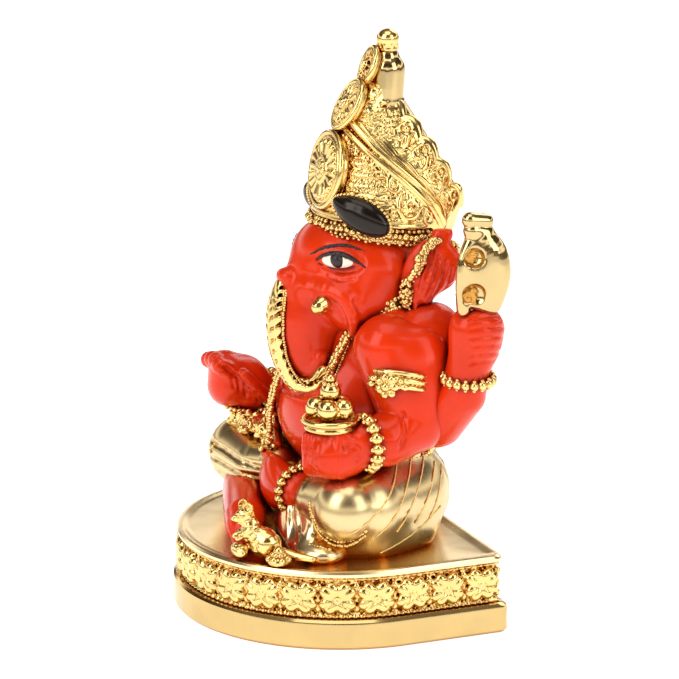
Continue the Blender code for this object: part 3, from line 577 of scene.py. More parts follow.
def build_torso():
    clay = clay_for("torso", 0.3)
    clay.balls(((0, 6.2, 31.0), (13.0, 11.3, 11.0), 0.1), ((0, 9.5, 41.5), (13.0, 8.6, 9.0), 3.0),
        ((0, 9.0, 25.0), (13.5, 9.5, 7.0), 2.5))
    clay.limb(((-11.0, 9.5, 44.0, 5.0), (11.0, 9.5, 44.0, 5.0)), soft=2.5)
    clay.keep(1, span("torso")[1][1] + 0.4, above=False)
    clay.ball((0, -5.4, 28.5), (0.9, 1.2, 0.7), soft=0.5, press=True)
    for height in (34.6, 36.4):
        engrave(clay, [(-9, -20, height + 0.8), (0, -20, height - 0.6), (9, -20, height + 0.8)], FROM_FRONT,
            0.3, soft=0.5)
    engrave(clay, [(0, 40, 30), (0.3, 40, 38), (0, 40, 46)], FROM_BACK, 0.5, soft=0.9)
    for side in (-1, 1):
        engrave(clay, [(side * 3, 40, 44), (side * 7, 40, 40), (side * 8, 40, 36)], FROM_BACK, 0.4, soft=0.8)
    for index, a in enumerate(turns(96)):
        point = (13.4 * sin(a), 9.2 - 10.6 * cos(a), 25.0 - 0.8 * cos(a) + 0.35 * sin(9 * a))
        TRIM.append((np.array(point), (0.42, 0.42, 0.5 + 0.25 * (index % 3 == 0))))
    for left, right in ((0.0, 0.0), (0.55, 0.1), (-0.4, 0.3)):
        hang = side_drape(clay, [(2.6 + left, 37.2), (4.0 + left, 40.6), (5.0 + left, 43.4),
                                 (6.2 + left, 45.4 + right)], pitch=0.4)
        TRIM.extend(string_of_beads(hang, 0.34, 1.25, 0.3))
    show_clay("torso_enamel", clay, "torso", "red_enamel")


def build_dhoti():
    clay = clay_for("dhoti", 0.25, 1.8)
    clay.ball((0, 9.5, 18.6), (17.0, 11.6, 9.4), soft=0.1)
    clay.limb(((9.0, 10.0, 19.0, 7.6), (15.0, 3.0, 18.8, 6.4), (16.4, -0.9, 19.4, 5.4),
               (10.4, -3.2, 19.6, 3.8)), soft=2.2)
    clay.limb(((-9.0, 10.0, 19.0, 7.6), (-14.5, 0.0, 20.0, 6.4), (-15.8, -5.8, 20.6, 5.7),
               (-9.0, -5.6, 20.2, 4.8), (-3.6, -4.8, 21.8, 3.0)), soft=2.2)
    clay.ball((0, 6.0, 15.0), (18.5, 12.0, 5.0), soft=2.0)
    for side in (-1, 1):
        clay.limb(((side * 14.6, -2.4, 12.9, 2.0), (side * 16.2, 4.0, 13.1, 2.2),
            (side * 14.0, 12.0, 13.2, 1.8)), soft=3.5)
    folds = (((13.0, 25.7), (12.0, 22.2), (8.9, 19.0), (5.3, 16.6)),
             ((15.2, 26.3), (14.7, 23.0), (12.3, 18.2), (9.2, 15.5)),
             ((17.2, 26.3), (16.9, 23.8), (15.4, 19.8), (12.9, 16.3)),
             ((19.0, 24.6), (18.1, 20.6), (15.8, 16.6)), ((20.0, 23.0), (19.2, 19.0), (18.0, 16.6)),
             ((19.7, 17.7), (15.8, 15.0), (10.4, 12.9)))
    for side in (-1, 1):
        for fold in folds:
            lifted = side_drape(clay, fold, side)
            if len(lifted) > 1:
                TRIM.extend((p, 0.19) for p in resample(lifted, 0.22))
    for index in range(7):
        x = -12.5 + 4.2 * index
        engrave(clay, [(x * 0.8, 40, 24), (x, 40, 18), (x * 1.1, 40, 13)], FROM_BACK, 0.15, soft=0.4,
            raise_it=True)
    for left, right in ((22.6, 21.6), (20.2, 19.8), (17.8, 18.4)):
        score(clay, [(-20, left - 0.6), (-16, left), (-10, right - 0.4), (-4, right)], 0.42, soft=0.35)
    hem = clay.drape(side_points([(-0.4, 20.4), (0.2, 18.4), (1.4, 16.4), (3.6, 15.2), (6.0, 15.6),
        (8.0, 17.2)]), side_way())
    TRIM.extend(string_of_beads(hem, 0.36, 1.3))
    TRIM.extend(string_of_beads([p + np.array((0.2, -0.1, -0.7)) for p in hem], 0.26, 1.4))
    rim = clay.drape(side_points([(-16.6, 21.0), (-15.6, 24.4), (-13.0, 26.0), (-9.0, 25.6)]), side_way())
    TRIM.extend(string_of_beads(rim, 0.34, 1.3))
    clay.keep(2, span("dhoti")[0][2] - 0.9)
    show_clay("dhoti_cloth", clay, "dhoti", look=SHADED_PALE_GOLD)


def build_front_cloth():
    clay = clay_for("dhoti_front_pleat", FINE, 2.4)
    clay.balls(((8.5, -5.2, 14.8), (6.6, 3.8, 4.6), 0.1), ((13.6, -4.6, 12.8), (5.6, 4.4, 2.2), 1.6))
    clay.ball((12.4, -10.4, 18.2), (4.2, 4.2, 4.4), soft=1.2, press=True)
    for index in range(5):
        share = index / 4
        engrave(clay, [(6.0 + 2.5 * share, -6.2 + 1.6 * share, 40), (12.6 + 4.4 * share, -9.4 + 7.4 * share,
            40)], FROM_ABOVE, 0.20, soft=0.4, raise_it=True)
    edge = clay.drape([(4.0, -8.6, 40), (7.0, -9.0, 40), (10.0, -8.9, 40), (13.4, -8.3, 40), (16.0, -6.8, 40),
                       (18.2, -4.6, 40)], FROM_ABOVE)
    TRIM.extend(string_of_beads(edge, 0.34, 1.4))
    clay.keep(2, span("plinth_tier")[1][2] - 0.5)
    show_clay("front_cloth_fan", clay, "dhoti_front_pleat", look=LIT_SATIN_GOLD)
    sash = clay_for("waist_sash", FINE, 2.0)
    sash.limb(((-16.0, -2.5, 26.0, 1.0), (-12.0, -3.2, 26.6, 1.3), (-6.0, -4.4, 26.0, 1.4),
               (-3.0, -5.2, 24.6, 1.1)), soft=0.1)
    sash.ball((-9.0, -3.8, 27.0), (3.4, 1.8, 1.8), soft=1.0)
    sash.limb(((-14.2, -7.4, 26.4, 1.2), (-10.5, -6.2, 27.0, 1.4), (-6.5, -5.4, 26.2, 1.3)), soft=0.9)
    TRIM.extend(string_of_beads([(-14.6, -10.6, 31.4), (-14.2, -10.0, 29.6), (-13.8, -8.8, 28.2),
        (-12.4, -7.0, 28.0)], 0.5, 1.5))
    for _ in range(420):
        point = (rng.uniform(-17, -2), -30, rng.uniform(23.5, 29))
        for hit in sash.drape([point], FROM_FRONT):
            sash.ball(hit, rng.uniform(0.28, 0.5), soft=0.15)
    show_clay("waist_sash_knot", sash, "waist_sash", relax=1)


def build_feet():
    shin = clay_for("right_lower_leg", FINE, 2.0)
    shin.limb(((-11.0, -7.4, 15.9, 3.6), (-2.0, -10.8, 15.7, 3.4), (3.0, -12.6, 15.6, 3.2)), soft=0.1)
    shin.ball((5.6, -13.8, 15.0), (3.6, 2.8, 2.9), turn=(0, 8, -22), soft=1.2)
    for index in range(5):
        share = index / 4
        start = (6.8 - 0.2 * index, -15.6 + 0.9 * index, 14.9 - 0.3 * index)
        end = (9.1 - 0.25 * index, -15.9 + 0.9 * index, 13.6)
        shin.limb(((start, 1.0 - 0.2 * share), (end, 0.85 - 0.2 * share)), soft=0.35)
        shin.ball((end[0] + 0.55, end[1], end[2] + 0.35), (0.4, 0.35, 0.2), soft=0.1)
    shin.keep(2, span("right_lower_leg")[0][2] - 0.7)
    show_clay("right_shin_enamel", shin, "right_lower_leg", "red_enamel")
    foot = clay_for("left_foot", FINE, 2.0)
    foot.ball((1.4, -7.0, 20.4), (5.4, 2.3, 4.2), turn=(0, 0, -12), soft=0.1)
    foot.limb(((3.0, -6.0, 20.2, 3.0), (6.6, -5.3, 20.0, 3.3)), soft=1.2)
    for index in range(5):
        height = 23.6 - 1.35 * index
        reach = 1.3 - 0.5 * abs(index - 1) / 3
        foot.limb(((-1.0, -6.9, height, 0.95), (-3.2 - reach, -6.5, height - 0.1, 0.80 - 0.06 * index)),
            soft=0.3)
    engrave(foot, [(-1.2, -30, 23.8), (0.4, -30, 20.4), (-1.2, -30, 17.6)], FROM_FRONT, 0.25, soft=0.4)
    show_clay("left_foot_enamel", foot, "left_foot", "red_enamel")


# Head, ears and trunk

TRUNK = ((0, 1.5, 53.0, 5.0), (0, -0.7, 49.5, 5.1), (0.3, -1.8, 44.8, 4.9), (0.9, -1.2, 40.6, 4.3),
         (2.4, -1.3, 39.0, 2.7), (4.0, -1.0, 39.0, 2.0), (5.2, -0.9, 40.4, 1.4))


def build_head():
    clay = clay_for("head", 0.22, 2.4)
    clay.balls(((0, 8.4, 53.2), (11.6, 9.2, 9.6), 0.1), ((0, 3.2, 55.4), (7.8, 6.0, 5.6), 2.4))
    for side in (-1, 1):
        clay.ball((side * 6.6, 5.0, 49.2), (4.6, 5.4, 4.8), soft=2.4)
    clay.limb(smooth_trunk(TRUNK), soft=1.8)
    clay.limb(((0, 1.6, 49.0, 4.4), (0.3, 1.3, 44.6, 4.7), (0.8, 0.6, 40.6, 4.0), (2.0, -0.4, 38.0, 2.6)),
              soft=1.4)
    clay.balls(((0, -4.6, 52.6), (1.9, 1.3, 1.3), 0.9), ((1.0, 0.4, 39.8), (3.4, 3.5, 3.8), 1.2))
    for side in (-1, 1):
        clay.limb(((side * 5.4, 2.0, 50.6, 2.1), (side * 6.8, -0.8, 49.6, 1.75)), soft=1.0)
        clay.ball(middle("left_eye") * (side, 1, 1) + (side * 0.5, -0.2, 0), (1.3, 3.6, 1.9),
            turn=(0, 0, side * EYE_TURN), soft=0.9, press=True)
        clay.ball(middle("left_eye") * (side, 1, 1) + (-side * 0.6, 0.3, 0), (1.35, 3.2, 1.55),
                  turn=(0, 0, side * EYE_TURN), soft=0.5)
        ring = side_drape(clay, [(-0.4, 51.4), (1.6, 52.0), (4.6, 51.2), (6.3, 48.6), (6.5, 45.2),
            (5.6, 42.0)], side)
        clay.limb([(p, 1.0) for p in ring], soft=2.0)
        score(clay, [(1.0, 50.6), (3.4, 50.0), (4.8, 47.8), (5.0, 44.8), (4.4, 41.6)], 0.34, side,
            depth=-0.1, soft=0.9)
        score(clay, [(6.6, 50.4), (7.8, 47.6), (7.4, 44.4)], 0.3, side, depth=-0.1, soft=0.8)
        score(clay, [(2.4, 53.7), (4.4, 53.2), (6.4, 53.6)], 0.16, side, soft=0.4)
    clay.keep(1, span("head")[1][1] + 0.8, above=False)
    show_clay("head_enamel", clay, "head", "red_enamel", relax=4)
    paint_eyes(clay)
    build_trunk_strip()


def smooth_trunk(stations):
    points = np.array(stations, float)
    dense = np.concatenate([np.linspace(a, b, 5)[:-1] for a, b in zip(points, points[1:])] + [points[-1:]])
    for _ in range(3):
        dense[1:-1] = 0.5 * dense[1:-1] + 0.25 * (dense[:-2] + dense[2:])
    return dense


def paint_eyes(clay):
    for side, word in SIDES:
        centre = middle(word + "_eye")
        white = Clay(centre - 5, centre + 5, 0.14)
        turn = (0, 0, side * EYE_TURN)
        white.ball(centre - (side * 0.36, 0.12, 0), (1.05, 2.75, 1.20), turn=turn, soft=0.05)
        show_clay(word + "_eye_white", white, word + "_eye", "white_enamel")
        way = np.array(side_way(side))

        def stroke(name, pairs, sizes, lift=0.0):
            line = resample(smooth_line(side_points(pairs, side)), 0.25)
            pool = white if name == "iris" else clay
            base = pool.drape(line, way)
            if len(base) < 2:
                return
            ink = Clay(np.min(base, axis=0) - 2, np.max(base, axis=0) + 2, 0.12)
            grow = np.interp(np.linspace(0, 1, len(base)), np.linspace(0, 1, len(sizes)), sizes)
            ink.limb([(p + way * lift, r) for p, r in zip(base, grow)], soft=0.05)
            show_clay("%s_%s" % (word, name), ink, slot="black_enamel", relax=1, look=INK)

        stroke("iris", [(3.8, 56.25), (3.95, 56.05)], (1.12, 1.12), 0.66)
        stroke("upper_lid", [(0.5, 55.9), (1.8, 56.8), (3.6, 57.25), (5.4, 56.9), (7.2, 55.8), (8.0, 55.3)],
               (0.16, 0.34, 0.44, 0.42, 0.32, 0.14))
        stroke("lower_lid", [(0.9, 55.4), (2.6, 54.85), (4.6, 54.8), (6.6, 55.4)], (0.12, 0.18, 0.18, 0.14))
        stroke("brow", [(-0.6, 56.4), (1.8, 58.0), (5.0, 58.5), (8.0, 57.6)], (0.12, 0.26, 0.26, 0.10))


def build_trunk_strip():
    clay = clay_for("trunk_ornament", THIN, 1.8)
    route = ((0, -4.9, 51.6, 0.5), (0, -5.8, 49.6, 1.5), (0, -6.4, 46.8, 1.8), (0.1, -6.4, 43.0, 1.8),
             (0.5, -5.8, 39.8, 1.7), (1.2, -4.8, 37.4, 1.6), (2.4, -3.9, 36.0, 1.5), (3.9, -2.6, 35.8, 1.4),
             (5.4, -1.6, 36.8, 1.2), (6.2, -0.8, 38.6, 0.9))
    front = [(row[:3], row[3]) for row in smooth_trunk(route)]
    for point, radius in front:
        clay.ball(point, (radius * 1.55, 0.95, 1.2), soft=0.5)
    for index, (point, radius) in enumerate(front[2:-2]):
        if index % 2:
            continue
        for side in (-1, 1):
            start = point + np.array((0, -1.0, -0.7))
            end = point + np.array((side * radius * 1.55, 0.1, 0.9))
            clay.limb(((start, 0.24), (end, 0.36)), soft=0.2, press=True)
    clay.limb([(p + np.array((0, -0.9, -0.1)), 0.26) for p, r in front], soft=0.2)
    show_clay("trunk_strip", clay, "trunk_ornament", relax=1)
    for side in (-1, 1):
        edge = [p + np.array((side * r * 1.6, 0.35, 0.2)) for p, r in front]
        TRIM.extend(string_of_beads(edge, 0.24, 1.6, 0.05))


def build_ears():
    for side, word in SIDES:
        clay = clay_for(word + "_ear", FINE, 2.2)
        clay.ball((side * 12.9, 14.7, 55.3), (1.5, 4.3, 4.2), turn=(14, 0, side * -22), soft=0.1)
        clay.limb(((side * 13.0, 13.6, 53.2, 2.4), (side * 13.3, 12.6, 50.4, 1.7),
            (side * 13.2, 11.8, 47.6, 0.7)), soft=1.4)
        clay.balls(((side * 11.6, 12.4, 52.6), (1.6, 2.8, 3.6), 1.0, (0, 0, side * -22)),
            ((side * 13.0, 16.0, 60.0), (1.0, 1.7, 1.5), 0.9, (30, 0, side * -22)))
        for index in range(6):
            top = 16.2 + 1.0 * index
            score(clay, [(top + 1.0, 58.8 - 0.9 * index), (top + 0.7, 56.0 - 0.7 * index),
                (top - 0.6, 52.8 - 0.6 * index), (16.2 + 0.12 * index, 49.0)], 0.34, side, depth=-0.05,
                soft=0.4)
        show_clay(word + "_ear_enamel", clay, word + "_ear", "red_enamel")
        strip = [(side * 13.6, 14.4, 59.4), (side * 14.0, 11.9, 57.8), (side * 13.8, 11.4, 55.0),
                 (side * 12.8, 10.4, 53.2)]
        balls = string_of_beads(strip, 0.60, 1.0, 0.3) + string_of_beads(
            [np.array(p) + (side * 0.2, 0.8, 0.1) for p in strip], 0.42, 1.2, 0.3)
        balls += string_of_beads([(side * 12.8, 10.4, 49.6), (side * 13.8, 11.9, 47.0)], 0.32, 1.3)
        for _ in range(90):
            a, b = rng.uniform(0, FULL_TURN), math.acos(rng.uniform(-1, 1))
            spot = np.array((0.8 * cos(a) * sin(b), 0.9 * sin(a) * sin(b), 2.2 * cos(b)))
            balls.append((np.array((side * 12.7, 10.3, 51.4)) + spot, rng.uniform(0.26, 0.42)))
            spot = np.array((0.7 * cos(a) * sin(b), 1.6 * sin(a) * sin(b), 1.2 * cos(b)))
            balls.append((np.array((side * 13.0, 17.0, 57.6)) + spot, rng.uniform(0.26, 0.42)))
        show_balls(word + "_ear_trim", balls, word + "_ear_ornament")


def build_tusks():
    for side, word in SIDES:
        low, high = span(word + "_tusk")
        centre = (low + high) / 2
        clay = Clay(low - 1.5, high + 1.5, 0.14)
        way = np.array((side * 1.0, -1.9, -0.55))
        way /= np.linalg.norm(way)
        clay.limb(((centre - way * 1.2, 1.25), (centre + way * 0.9, 1.15)), soft=0.05)
        clay.limb(((centre - way * 0.3, 1.4), (centre - way * 0.1, 1.4)), soft=0.2)
        for angle in np.linspace(0, FULL_TURN, 9)[:-1]:
            across = Vector(way).orthogonal().normalized()
            across.rotate(Matrix.Rotation(angle, 3, Vector(way)))
            edge = centre + way * 1.5 + np.array(across) * 1.2
            clay.ball(edge, (0.3, 0.3, 0.3), soft=0.2, press=True)
        show_clay(word + "_tusk_cap", clay, word + "_tusk", relax=1)


# Crown

RINGS = ((59.6, 11.0, 10.9, 9.4), (61.6, 11.0, 11.2, 9.8), (64.5, 11.0, 10.9, 9.7), (68.0, 10.9, 9.2, 8.4),
         (72.0, 10.4, 6.8, 6.7), (76.0, 10.6, 4.6, 5.0), (78.4, 11.2, 3.2, 4.0))


def crown_point(height, angle, out=0.0):
    """Vectorised point on the crown's skin, moved out along its rough normal."""
    table = np.array(RINGS)
    mid, width, depth = (np.interp(height, table[:, 0], table[:, i]) for i in (1, 2, 3))
    tilt = np.interp(height, (60, 64, 68, 72, 78.4), (0.0, 0.10, 0.40, 0.52, 0.50))
    x = (width + out) * np.sin(angle)
    y = mid - (depth + out) * np.cos(angle)
    return np.stack([x, np.minimum(y, 21.2 + 0.6 * out), height + out * tilt + sag(y, height)], -1)


def sag(y, height):
    """The crown's lower edge drops towards the back of the head."""
    return -1.9 * np.clip((y - 3) / 16, 0, 1) * np.clip(1 - (height - RINGS[0][0]) / 7, 0, 1)


def ridge_line(reach):
    return 76.6 - 14.6 * reach, radians(133) * reach ** 0.55


def spiral(centre, size, turns, start, hand, count=26):
    points = []
    for step in range(count):
        share = step / (count - 1)
        angle = start + hand * turns * FULL_TURN * share
        points.append((centre[0] + size * (1 - 0.86 * share) * cos(angle),
                       centre[1] + size * (1 - 0.86 * share) * sin(angle)))
    return points


def rosette(clay, at, size, level, petals=6):
    for angle in turns(petals):
        clay.ball((at[0] + size * 0.6 * cos(angle), at[1] + size * 0.6 * sin(angle), level),
                  (size * 0.38, size * 0.26, size * 0.32), turn=(0, 0, math.degrees(angle)), soft=0.1)
    clay.ball((at[0], at[1], level + size * 0.12), size * 0.28, soft=0.08)


def build_crown():
    scale = 9.5
    low_z, high_z = RINGS[0][0] - 0.3, RINGS[-1][0]
    wide = pi * scale
    clay = Clay((-wide - 0.3, low_z, -1.4), (wide + 0.3, high_z, 1.9), 0.19)
    clay.field[:] = np.maximum(clay.axes[2], -1.1 - clay.axes[2])
    clay.keep(1, low_z)
    clay.keep(1, high_z, above=False)
    ridge = [ridge_line(reach) for reach in np.linspace(0, 1, 30)]
    for side in (-1, 1):
        def at(reach, shift=0.0):
            height, angle = ridge_line(reach)
            return (side * angle * scale, height + shift)
        for shift, wire in ((0.1, 0.66), (-1.45, 0.5)):
            line = [at(r, shift) for r in np.linspace(0.02, 1.0, 26)]
            clay.limb([((x, y, 0.5), wire) for x, y in line], soft=0.15)
        for reach in np.linspace(0.06, 0.96, 15):
            x, y = at(reach, -2.3)
            rosette(clay, (x, y - 0.4), 0.95, 0.3)
        for row in range(9):
            height = 62.6 + 1.55 * row
            for column in range(26):
                angle = 0.52 + 0.098 * column
                limit = np.interp(angle, [a for h, a in ridge], [h for h, a in ridge])
                if height > limit - 3.4 or (height < 66.8 and angle < 1.25):
                    continue
                x = side * (angle + 0.049 * (row % 2)) * scale
                rosette(clay, (x, height), 0.66, 0.18, 5)
        for column in range(60):
            for row in range(22):
                angle = 0.25 + 0.046 * column
                height = 62.0 + 0.74 * row + rng.uniform(-0.1, 0.1)
                if height < 77.6:
                    clay.ball((side * angle * scale, height, 0.04), rng.uniform(0.16, 0.28), soft=0.08)
        for centre, size, turns, start, hand in (((1.62, 64.4), 2.0, 1.5, 2.2, 1),
                ((1.95, 63.4), 1.6, 1.4, 0.4, -1), ((1.42, 67.4), 1.5, 1.3, 1.0, 1),
                ((1.22, 70.6), 1.3, 1.3, 2.6, -1), ((2.25, 63.6), 1.4, 1.3, 2.8, 1)):
            line = spiral((side * centre[0] * scale, centre[1]), size, turns, start, hand * side)
            clay.limb([((x, y, 0.34), 0.34 - 0.006 * i) for i, (x, y) in enumerate(line)], soft=0.12)
            clay.ball((*line[-1], 0.4), 0.5, soft=0.1)
        for column in range(14):
            angle = 2.0 + 0.085 * column
            for height, length in ((66.0, 1.3), (69.4, 1.2), (72.6, 1.0), (75.4, 0.8)):
                if height > 66 or angle > 2.3:
                    clay.ball((side * angle * scale, height, 0.15), (0.36, length, 0.42), soft=0.12)
    for height, size in ((61.9, 0.30), (62.5, 0.22)):
        clay.limb(((-wide, height, 0.25, size), (wide, height, 0.25, size)), soft=0.12)

    def bend(verts):
        return crown_point(verts[:, 1], verts[:, 0] / scale, verts[:, 2])

    show_clay("crown_filigree", clay, "crown_body", relax=1, bend=bend)
    build_plate()
    ring = []
    brow = middle("crown_brow_band")
    for index in range(72):
        for row, (drop, size, half) in enumerate(((0.0, 0.50, 0), (0.72, 0.32, 1), (-0.72, 0.32, 1),
                (-1.15, 0.26, 0))):
            angle = FULL_TURN * (index + 0.5 * half) / 72
            way = np.array((cos(angle), sin(angle), 0))
            base = np.array((11.3 * way[0], brow[1] + 9.8 * way[1], brow[2] + drop))
            base[2] += sag(base[1], RINGS[0][0])
            base += [rng.uniform(-0.16, 0.16) for _ in range(3)]
            ring.append((base + way * (0.45 if row == 0 else 0.3), size * rng.uniform(0.8, 1.15)))
    show_balls("brow_beads", ring, "crown_brow_band")
    dome = Clay((-13, 8, 58), (13, 25, 82), 0.3)
    for run in np.linspace(0.0, 1.0, 22):
        reach = 11.0 * sin(1.35 * run) * 0.74
        back = (12.2 + 7.2 * run, 78.2 - 15.0 * run ** 1.1)
        dome.limb([((reach * sin(a), back[0] + (0.5 + 0.9 * run) * cos(a), back[1] + 0.5 * cos(a)), 1.6)
                   for a in np.linspace(-1.5, 1.5, 15)], soft=1.2)
    for height in (60.6, 62.0):
        dome.limb([((7.2 * sin(a), 18.6 + 2.0 * cos(a), height), 1.6) for a in np.linspace(-1.5, 1.5, 15)],
                  soft=1.2)
    dome.keep(2, 58.8)
    show_clay("crown_back_dome", dome, relax=3, look=SMOOTH_GOLD)
    core = Clay((-6, 1, 62), (6, 17, 88), 0.24)
    core.limb(((0, 6.2, 66.5, 4.2), (0, 7.2, 72.0, 3.9), (0, 9.0, 77.0, 3.1), (0, 11.2, 81.0, 2.0)), soft=0.5)
    for _ in range(900):
        side = rng.choice((-1, 1))
        for hit in core.drape([(side * 20, rng.uniform(2, 14), rng.uniform(64, 82))], (-side, 0, 0)):
            core.ball(hit, rng.uniform(0.22, 0.4), soft=0.1)
    show_clay("crown_core", core, relax=1)
    place_medallion("front_medallion", "crown_front_medallion", (0, -0.95, 0.18), (6.2, 6.2), 18,
        (0, 0.5, 0.2), 1.5)
    place_medallion("middle_medallion", "crown_middle_medallion", (0, -0.88, 0.48), (3.6, 4.4), 12,
        (0, 0.8, 1.0), 1.2)
    place_medallion("top_leaf", "crown_top_petal", (0, -0.92, 0.36), (2.3, 3.1), 8, (0, 0.3, 0.8), 0.9)
    build_gems()
    build_spire()


def plate_point(reach, across):
    ridge = crown_point(*ridge_line(reach))
    scallop = 1.3 * np.abs(np.sin(pi * 5 * reach)) ** 0.7
    rim = np.stack([11.0 * np.sin(1.35 * reach), 12.2 + 8.0 * reach + 0.6 * scallop,
                    78.6 - 14.8 * reach ** 1.1 + 0.9 * scallop], -1)
    return ridge + (rim - ridge) * across[:, None]


def build_plate():
    length, width = 23.0, 7.0
    for side, word in SIDES:
        clay = Clay((-0.3, -0.3, -1.0), (length + 0.3, width + 0.3, 1.8), THIN)
        clay.field[:] = np.abs(clay.axes[2]) - 0.5
        clay.keep(0, 0.0)
        clay.keep(0, length, above=False)
        clay.keep(1, -0.2)
        clay.keep(1, width, above=False)
        clay.limb(((0, width - 0.5, 0.25, 0.92), (length, width - 0.5, 0.25, 0.92)), soft=0.2)
        clay.limb(((0, 0.5, 0.3, 0.55), (length, 0.5, 0.3, 0.55)), soft=0.2)
        clay.limb(((0, 1.7, 0.35, 0.32), (length, 1.7, 0.35, 0.32)), soft=0.15)
        for index in range(5):
            x = (index + 0.5) * length / 5
            clay.limb(hoop((x, 5.1, 0.6), 0.95, 0.30, 17), soft=0.1)
            clay.ball((x, 5.1, 0.7), 0.5, soft=0.1)
            tail = [(x + 1.0, 4.7), (x + 1.7, 3.9), (x + 1.9, 3.0), (x + 1.4, 2.4)]
            clay.limb([((u, v, 0.55), r) for (u, v), r in zip(tail, (0.5, 0.45, 0.34, 0.2))], soft=0.3)
            tail = [(x - 1.1, 4.6), (x - 0.9, 3.6), (x - 0.1, 3.1), (x + 0.4, 3.5)]
            clay.limb([((u, v, 0.55), r) for (u, v), r in zip(tail, (0.2, 0.3, 0.34, 0.3))], soft=0.2)
            for _ in range(60):
                clay.ball((x + rng.uniform(-2.4, 2.4), rng.uniform(2.2, 6.2), 0.46), rng.uniform(0.16, 0.30),
                          soft=0.08)

        verts, quads = clay.skin()
        reach, across = np.clip(verts[:, 0] / length, 0.001, 1.0), verts[:, 1] / width
        along = plate_point(np.clip(reach + 0.01, 0, 1), across) - plate_point(np.clip(reach - 0.01, 0, 1),
            across)
        over = plate_point(reach, across + 0.02) - plate_point(reach, across - 0.02)
        normal = np.cross(over, along)
        normal /= np.maximum(np.linalg.norm(normal, axis=1), 1e-9)[:, None]
        normal *= np.where(normal[:, 0] < 0, -1.0, 1.0)[:, None]
        out = plate_point(reach, across) + normal * verts[:, 2:3]
        out[:, 0] *= side
        name = "crown_collar_" + word
        show(name, make_mesh(name, out, quads[:, ::side]), "crown_back_plate" if side > 0 else None)


def place_medallion(name, node, axis, radii, petals, shift, depth):
    """A dished disc: heavy double rim, radial petals inside it and a stepped boss."""
    wide, tall = radii
    clay = Clay((-wide - 1, -tall - 1, -depth - 1), (wide + 1, tall + 1, 2.8), 0.15)

    def oval(share, angle, level):
        return (share * wide * cos(angle), share * tall * sin(angle), level)

    clay.ball((0, 0, -0.3 * depth), (wide * 0.97, tall * 0.97, depth), soft=0.05)
    around = np.linspace(0, FULL_TURN, 61)
    clay.limb([(oval(0.93, a, 0.25), 0.46) for a in around], soft=0.2)
    clay.limb([(oval(0.80, a, 0.45), 0.24) for a in around], soft=0.12)
    for angle in turns(petals):
        clay.limb(((oval(0.36, angle, 0.75), 0.055 * wide), (oval(0.66, angle, 0.65), 0.105 * wide)),
            soft=0.1)
        clay.ball(oval(0.70, angle + pi / petals, 0.5), 0.05 * wide, soft=0.08)
    clay.limb([(oval(0.30, a, 0.95), 0.06 * wide) for a in around], soft=0.08)
    for angle in turns(8):
        clay.ball(oval(0.17, angle, 1.1), wide * 0.085, soft=0.08)
    clay.ball((0, 0, 1.2), (wide * 0.14, tall * 0.14, 0.5), soft=0.1)
    turn = np.array(Vector(axis).to_track_quat("Z", "Y").to_matrix())
    centre = middle(node) + np.array(shift)

    def bend(verts):
        return verts @ turn.T + centre

    show_clay(name, clay, node, relax=1, bend=bend)


def build_gems():
    for side, word in SIDES:
        centre = middle("crown_gem_" + word) + np.array((side * 0.3, -0.1, -1.3))
        turn = (-24, 0, side * -46)
        spin = Euler([radians(a) for a in turn]).to_matrix()
        clay = Clay(centre - 7, centre + 7, 0.18)
        clay.ball(centre, (1.8, 4.7, 2.55), turn=turn, soft=0.05)
        tip = np.array(spin @ Vector((0, -4.9, 0.2)))
        clay.limb((((centre + tip * 0.45), 1.2), (centre + tip, 0.45)), soft=1.4)
        show_clay("brow_gem_" + word, clay, "crown_gem_" + word, "black_enamel")
        for angle in turns(42):
            local = Vector((-0.2 * side, 5.15 * cos(angle) - 0.35, (2.75 - 0.5 * (cos(angle) < 0)
                                                                        * abs(cos(angle))) * sin(angle)))
            TRIM.append((centre + np.array(spin @ local), 0.30))


def build_spire():
    low, high = span("crown_urn")
    x, y = (low[0] + high[0]) / 2, (low[1] + high[1]) / 2
    urn = Clay(low - 2, high + 3, THIN)
    urn.limb(((x, y - 0.3, 78.2, 2.7), (x, y - 0.2, 81.0, 2.75), (x, y, 83.6, 2.75), (x, y, 85.4, 1.9)),
        soft=0.8)
    for angle in turns(8, 0.5):
        way = np.array((cos(angle), sin(angle), 0))
        hub = np.array((x, y, 0))
        urn.limb([(tuple(hub + way * reach + (0, 0, z)), 0.16) for reach, z in
                  ((2.95, 79.4), (3.0, 81.2), (3.05, 83.6), (2.7, 85.0), (1.8, 86.9))], soft=0.45, press=True)
    urn.limb(hoop((x, y, 78.9), 2.3, 0.42, 25), soft=0.2)
    show_clay("spire_urn", urn, "crown_urn", look=SHADED_MIRROR_GOLD)
    low, high = span("crown_finial")
    top = Clay(low - 1.4, high + 0.8, 0.15)
    top.ball((x, y, 88.35), (1.75, 1.75, 1.6), soft=0.05)
    top.limb(hoop((x, y, 86.9), 1.35, 0.36, 21), soft=0.12)
    top.limb(((x, y, 85.9, 1.3), (x, y, 87.2, 1.2)), soft=0.2)
    for angle in turns(9):
        top.ball((x + 1.35 * cos(angle), y + 1.35 * sin(angle), 87.5), (0.42, 0.42, 0.55), soft=0.12)
    show_clay("spire_finial", top, "crown_finial")


# Arms, bangles and held things

def finger(clay, points, radius, soft=0.35):
    line = smooth_line(points, 0.6)
    clay.limb(list(zip(line, np.linspace(radius, radius * 0.85, len(line)))), soft=soft)


